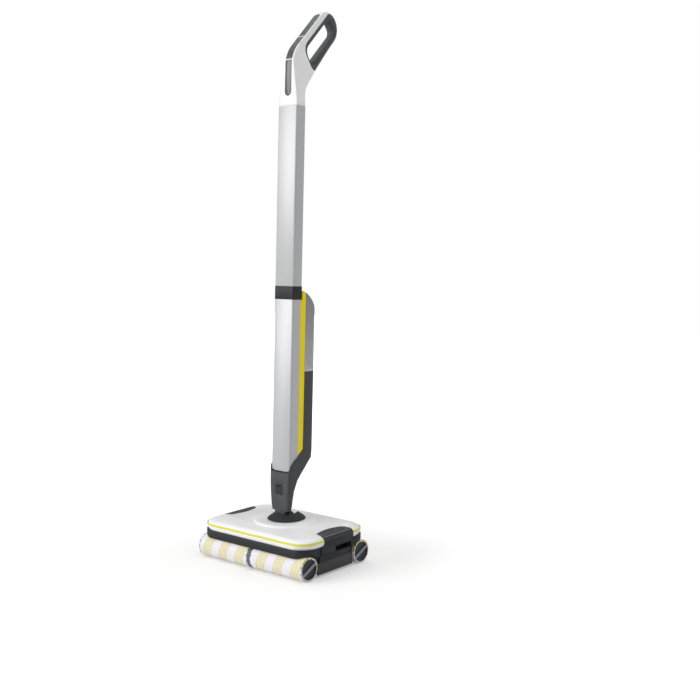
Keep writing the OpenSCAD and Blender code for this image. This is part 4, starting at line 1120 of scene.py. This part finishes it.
@dataclass
class Studio:
    """The pale floor, the soft lamps and the camera."""

    place: tuple[float, float, float] = (1.5895, -1.6891, 0.7088)
    around: float = 39.54
    down: float = 5.87
    roll: float = -0.11
    lens: float = 54.35
    sensor: float = 36.0
    sight: float = 50.0
    world_level: float = 0.37
    lamps: tuple[Lamp, ...] = (
        Lamp("key", 1.65, 36.0, (-1.72073, -2.457456, 1.3)),
        Lamp("overhead", 1.15, 90.0, (0.0, 0.3, 3.2)),
        Lamp("back", 0.2, 60.0, (1.6, 2.0, 1.6)),
    )
    floor_size: float = 12.0
    floor_grey: float = 0.78
    floor_glow: float = 0.3
    fade_from: float = 0.3
    fade_to: float = 1.6

    def camera(self) -> None:
        """Set the camera to the right of the machine's front, a little above its middle."""
        data = bpy.data.cameras.new("camera")
        camera = bpy.data.objects.new("camera", data)
        bpy.context.scene.collection.objects.link(camera)
        data.sensor_width = self.sensor
        data.lens = self.lens
        data.clip_end = self.sight
        turn, tilt = math.radians(self.around), math.radians(self.down)
        back = Vector((math.sin(turn) * math.cos(tilt), -math.cos(turn) * math.cos(tilt), math.sin(tilt)))
        right = Vector((math.cos(turn), math.sin(turn), 0.0))
        axes = Matrix((right, back.cross(right), back)).transposed().to_4x4()
        roll = Matrix.Rotation(math.radians(self.roll), 4, "Z")
        camera.matrix_world = Matrix.Translation(Vector(self.place)) @ axes @ roll
        bpy.context.scene.camera = camera

    def world(self) -> None:
        """Light the scene evenly, with a white background for the camera and for clear pieces."""
        world = bpy.data.worlds.new("studio")
        world.use_nodes = True
        bpy.context.scene.world = world
        wiring = Wiring(world.node_tree)
        backdrop = world.node_tree.nodes["Background"]
        backdrop.inputs["Color"].default_value = (1.0, 1.0, 1.0, 1.0)
        level = wiring.math("MULTIPLY_ADD", wiring.looked_at(), 1.0 - self.world_level, self.world_level)
        wiring.join(level, backdrop.inputs["Strength"])

    def floor(self) -> None:
        """Lay the floor, which fades to white away from the machine."""
        bpy.ops.object.select_all(action="DESELECT")
        bpy.ops.mesh.primitive_plane_add(size=self.floor_size, location=(0.0, 0.0, 0.0))
        floor = Bench.settle(bpy.context.active_object, "floor")
        material = bpy.data.materials.new("floor_white")
        material.use_nodes = True
        wiring = Wiring(material.node_tree)
        shader = material.node_tree.nodes["Principled BSDF"]
        shader.inputs["Base Color"].default_value = (self.floor_grey, self.floor_grey, self.floor_grey, 1.0)
        shader.inputs["Roughness"].default_value = 0.9
        shader.inputs["Specular IOR Level"].default_value = 0.0
        reach = wiring.add("ShaderNodeVectorMath", operation="LENGTH")
        wiring.join(wiring.place(), reach.inputs[0])
        fade = wiring.add("ShaderNodeMapRange")
        wiring.join(reach.outputs["Value"], fade.inputs["Value"])
        fade.inputs["From Min"].default_value = self.fade_from
        fade.inputs["From Max"].default_value = self.fade_to
        fade.inputs["To Min"].default_value = self.floor_glow
        fade.inputs["To Max"].default_value = 1.0
        glow = wiring.math("MULTIPLY", wiring.looked_at(), fade.outputs["Result"])
        wiring.join(glow, shader.inputs["Emission Strength"])
        shader.inputs["Emission Color"].default_value = (1.0, 1.0, 1.0, 1.0)
        floor.data.materials.append(material)

    def build(self) -> None:
        """Build the floor, the light and the camera."""
        self.camera()
        self.world()
        for lamp in self.lamps:
            lamp.hang()
        self.floor()
        bpy.context.scene.view_settings.view_transform = "Standard"


def paint_solids() -> None:
    """Give each CAD node its finish."""
    for name, node in frame["nodes"].items():
        finish = NODE_FINISH.get(name)
        if finish is None:
            finish = CORE_GREY if name.endswith("_core") else CAP_GREY if name.endswith("_cap") else PILE
        if not node.material_slots:
            node.data.materials.append(finish.material())
        for slot in node.material_slots:
            slot.material = finish.material()


def main() -> None:
    """Build the machine's looks and the studio round it."""
    logging.basicConfig(level=logging.INFO, format="%(name)s: %(message)s")
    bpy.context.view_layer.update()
    Studio().build()
    paint_solids()
    for assembly in (Head(), Pole(), Handle()):
        assembly.build()
        LOG.info("%s is dressed", type(assembly).__name__)


if __name__ == "__main__":
    main()
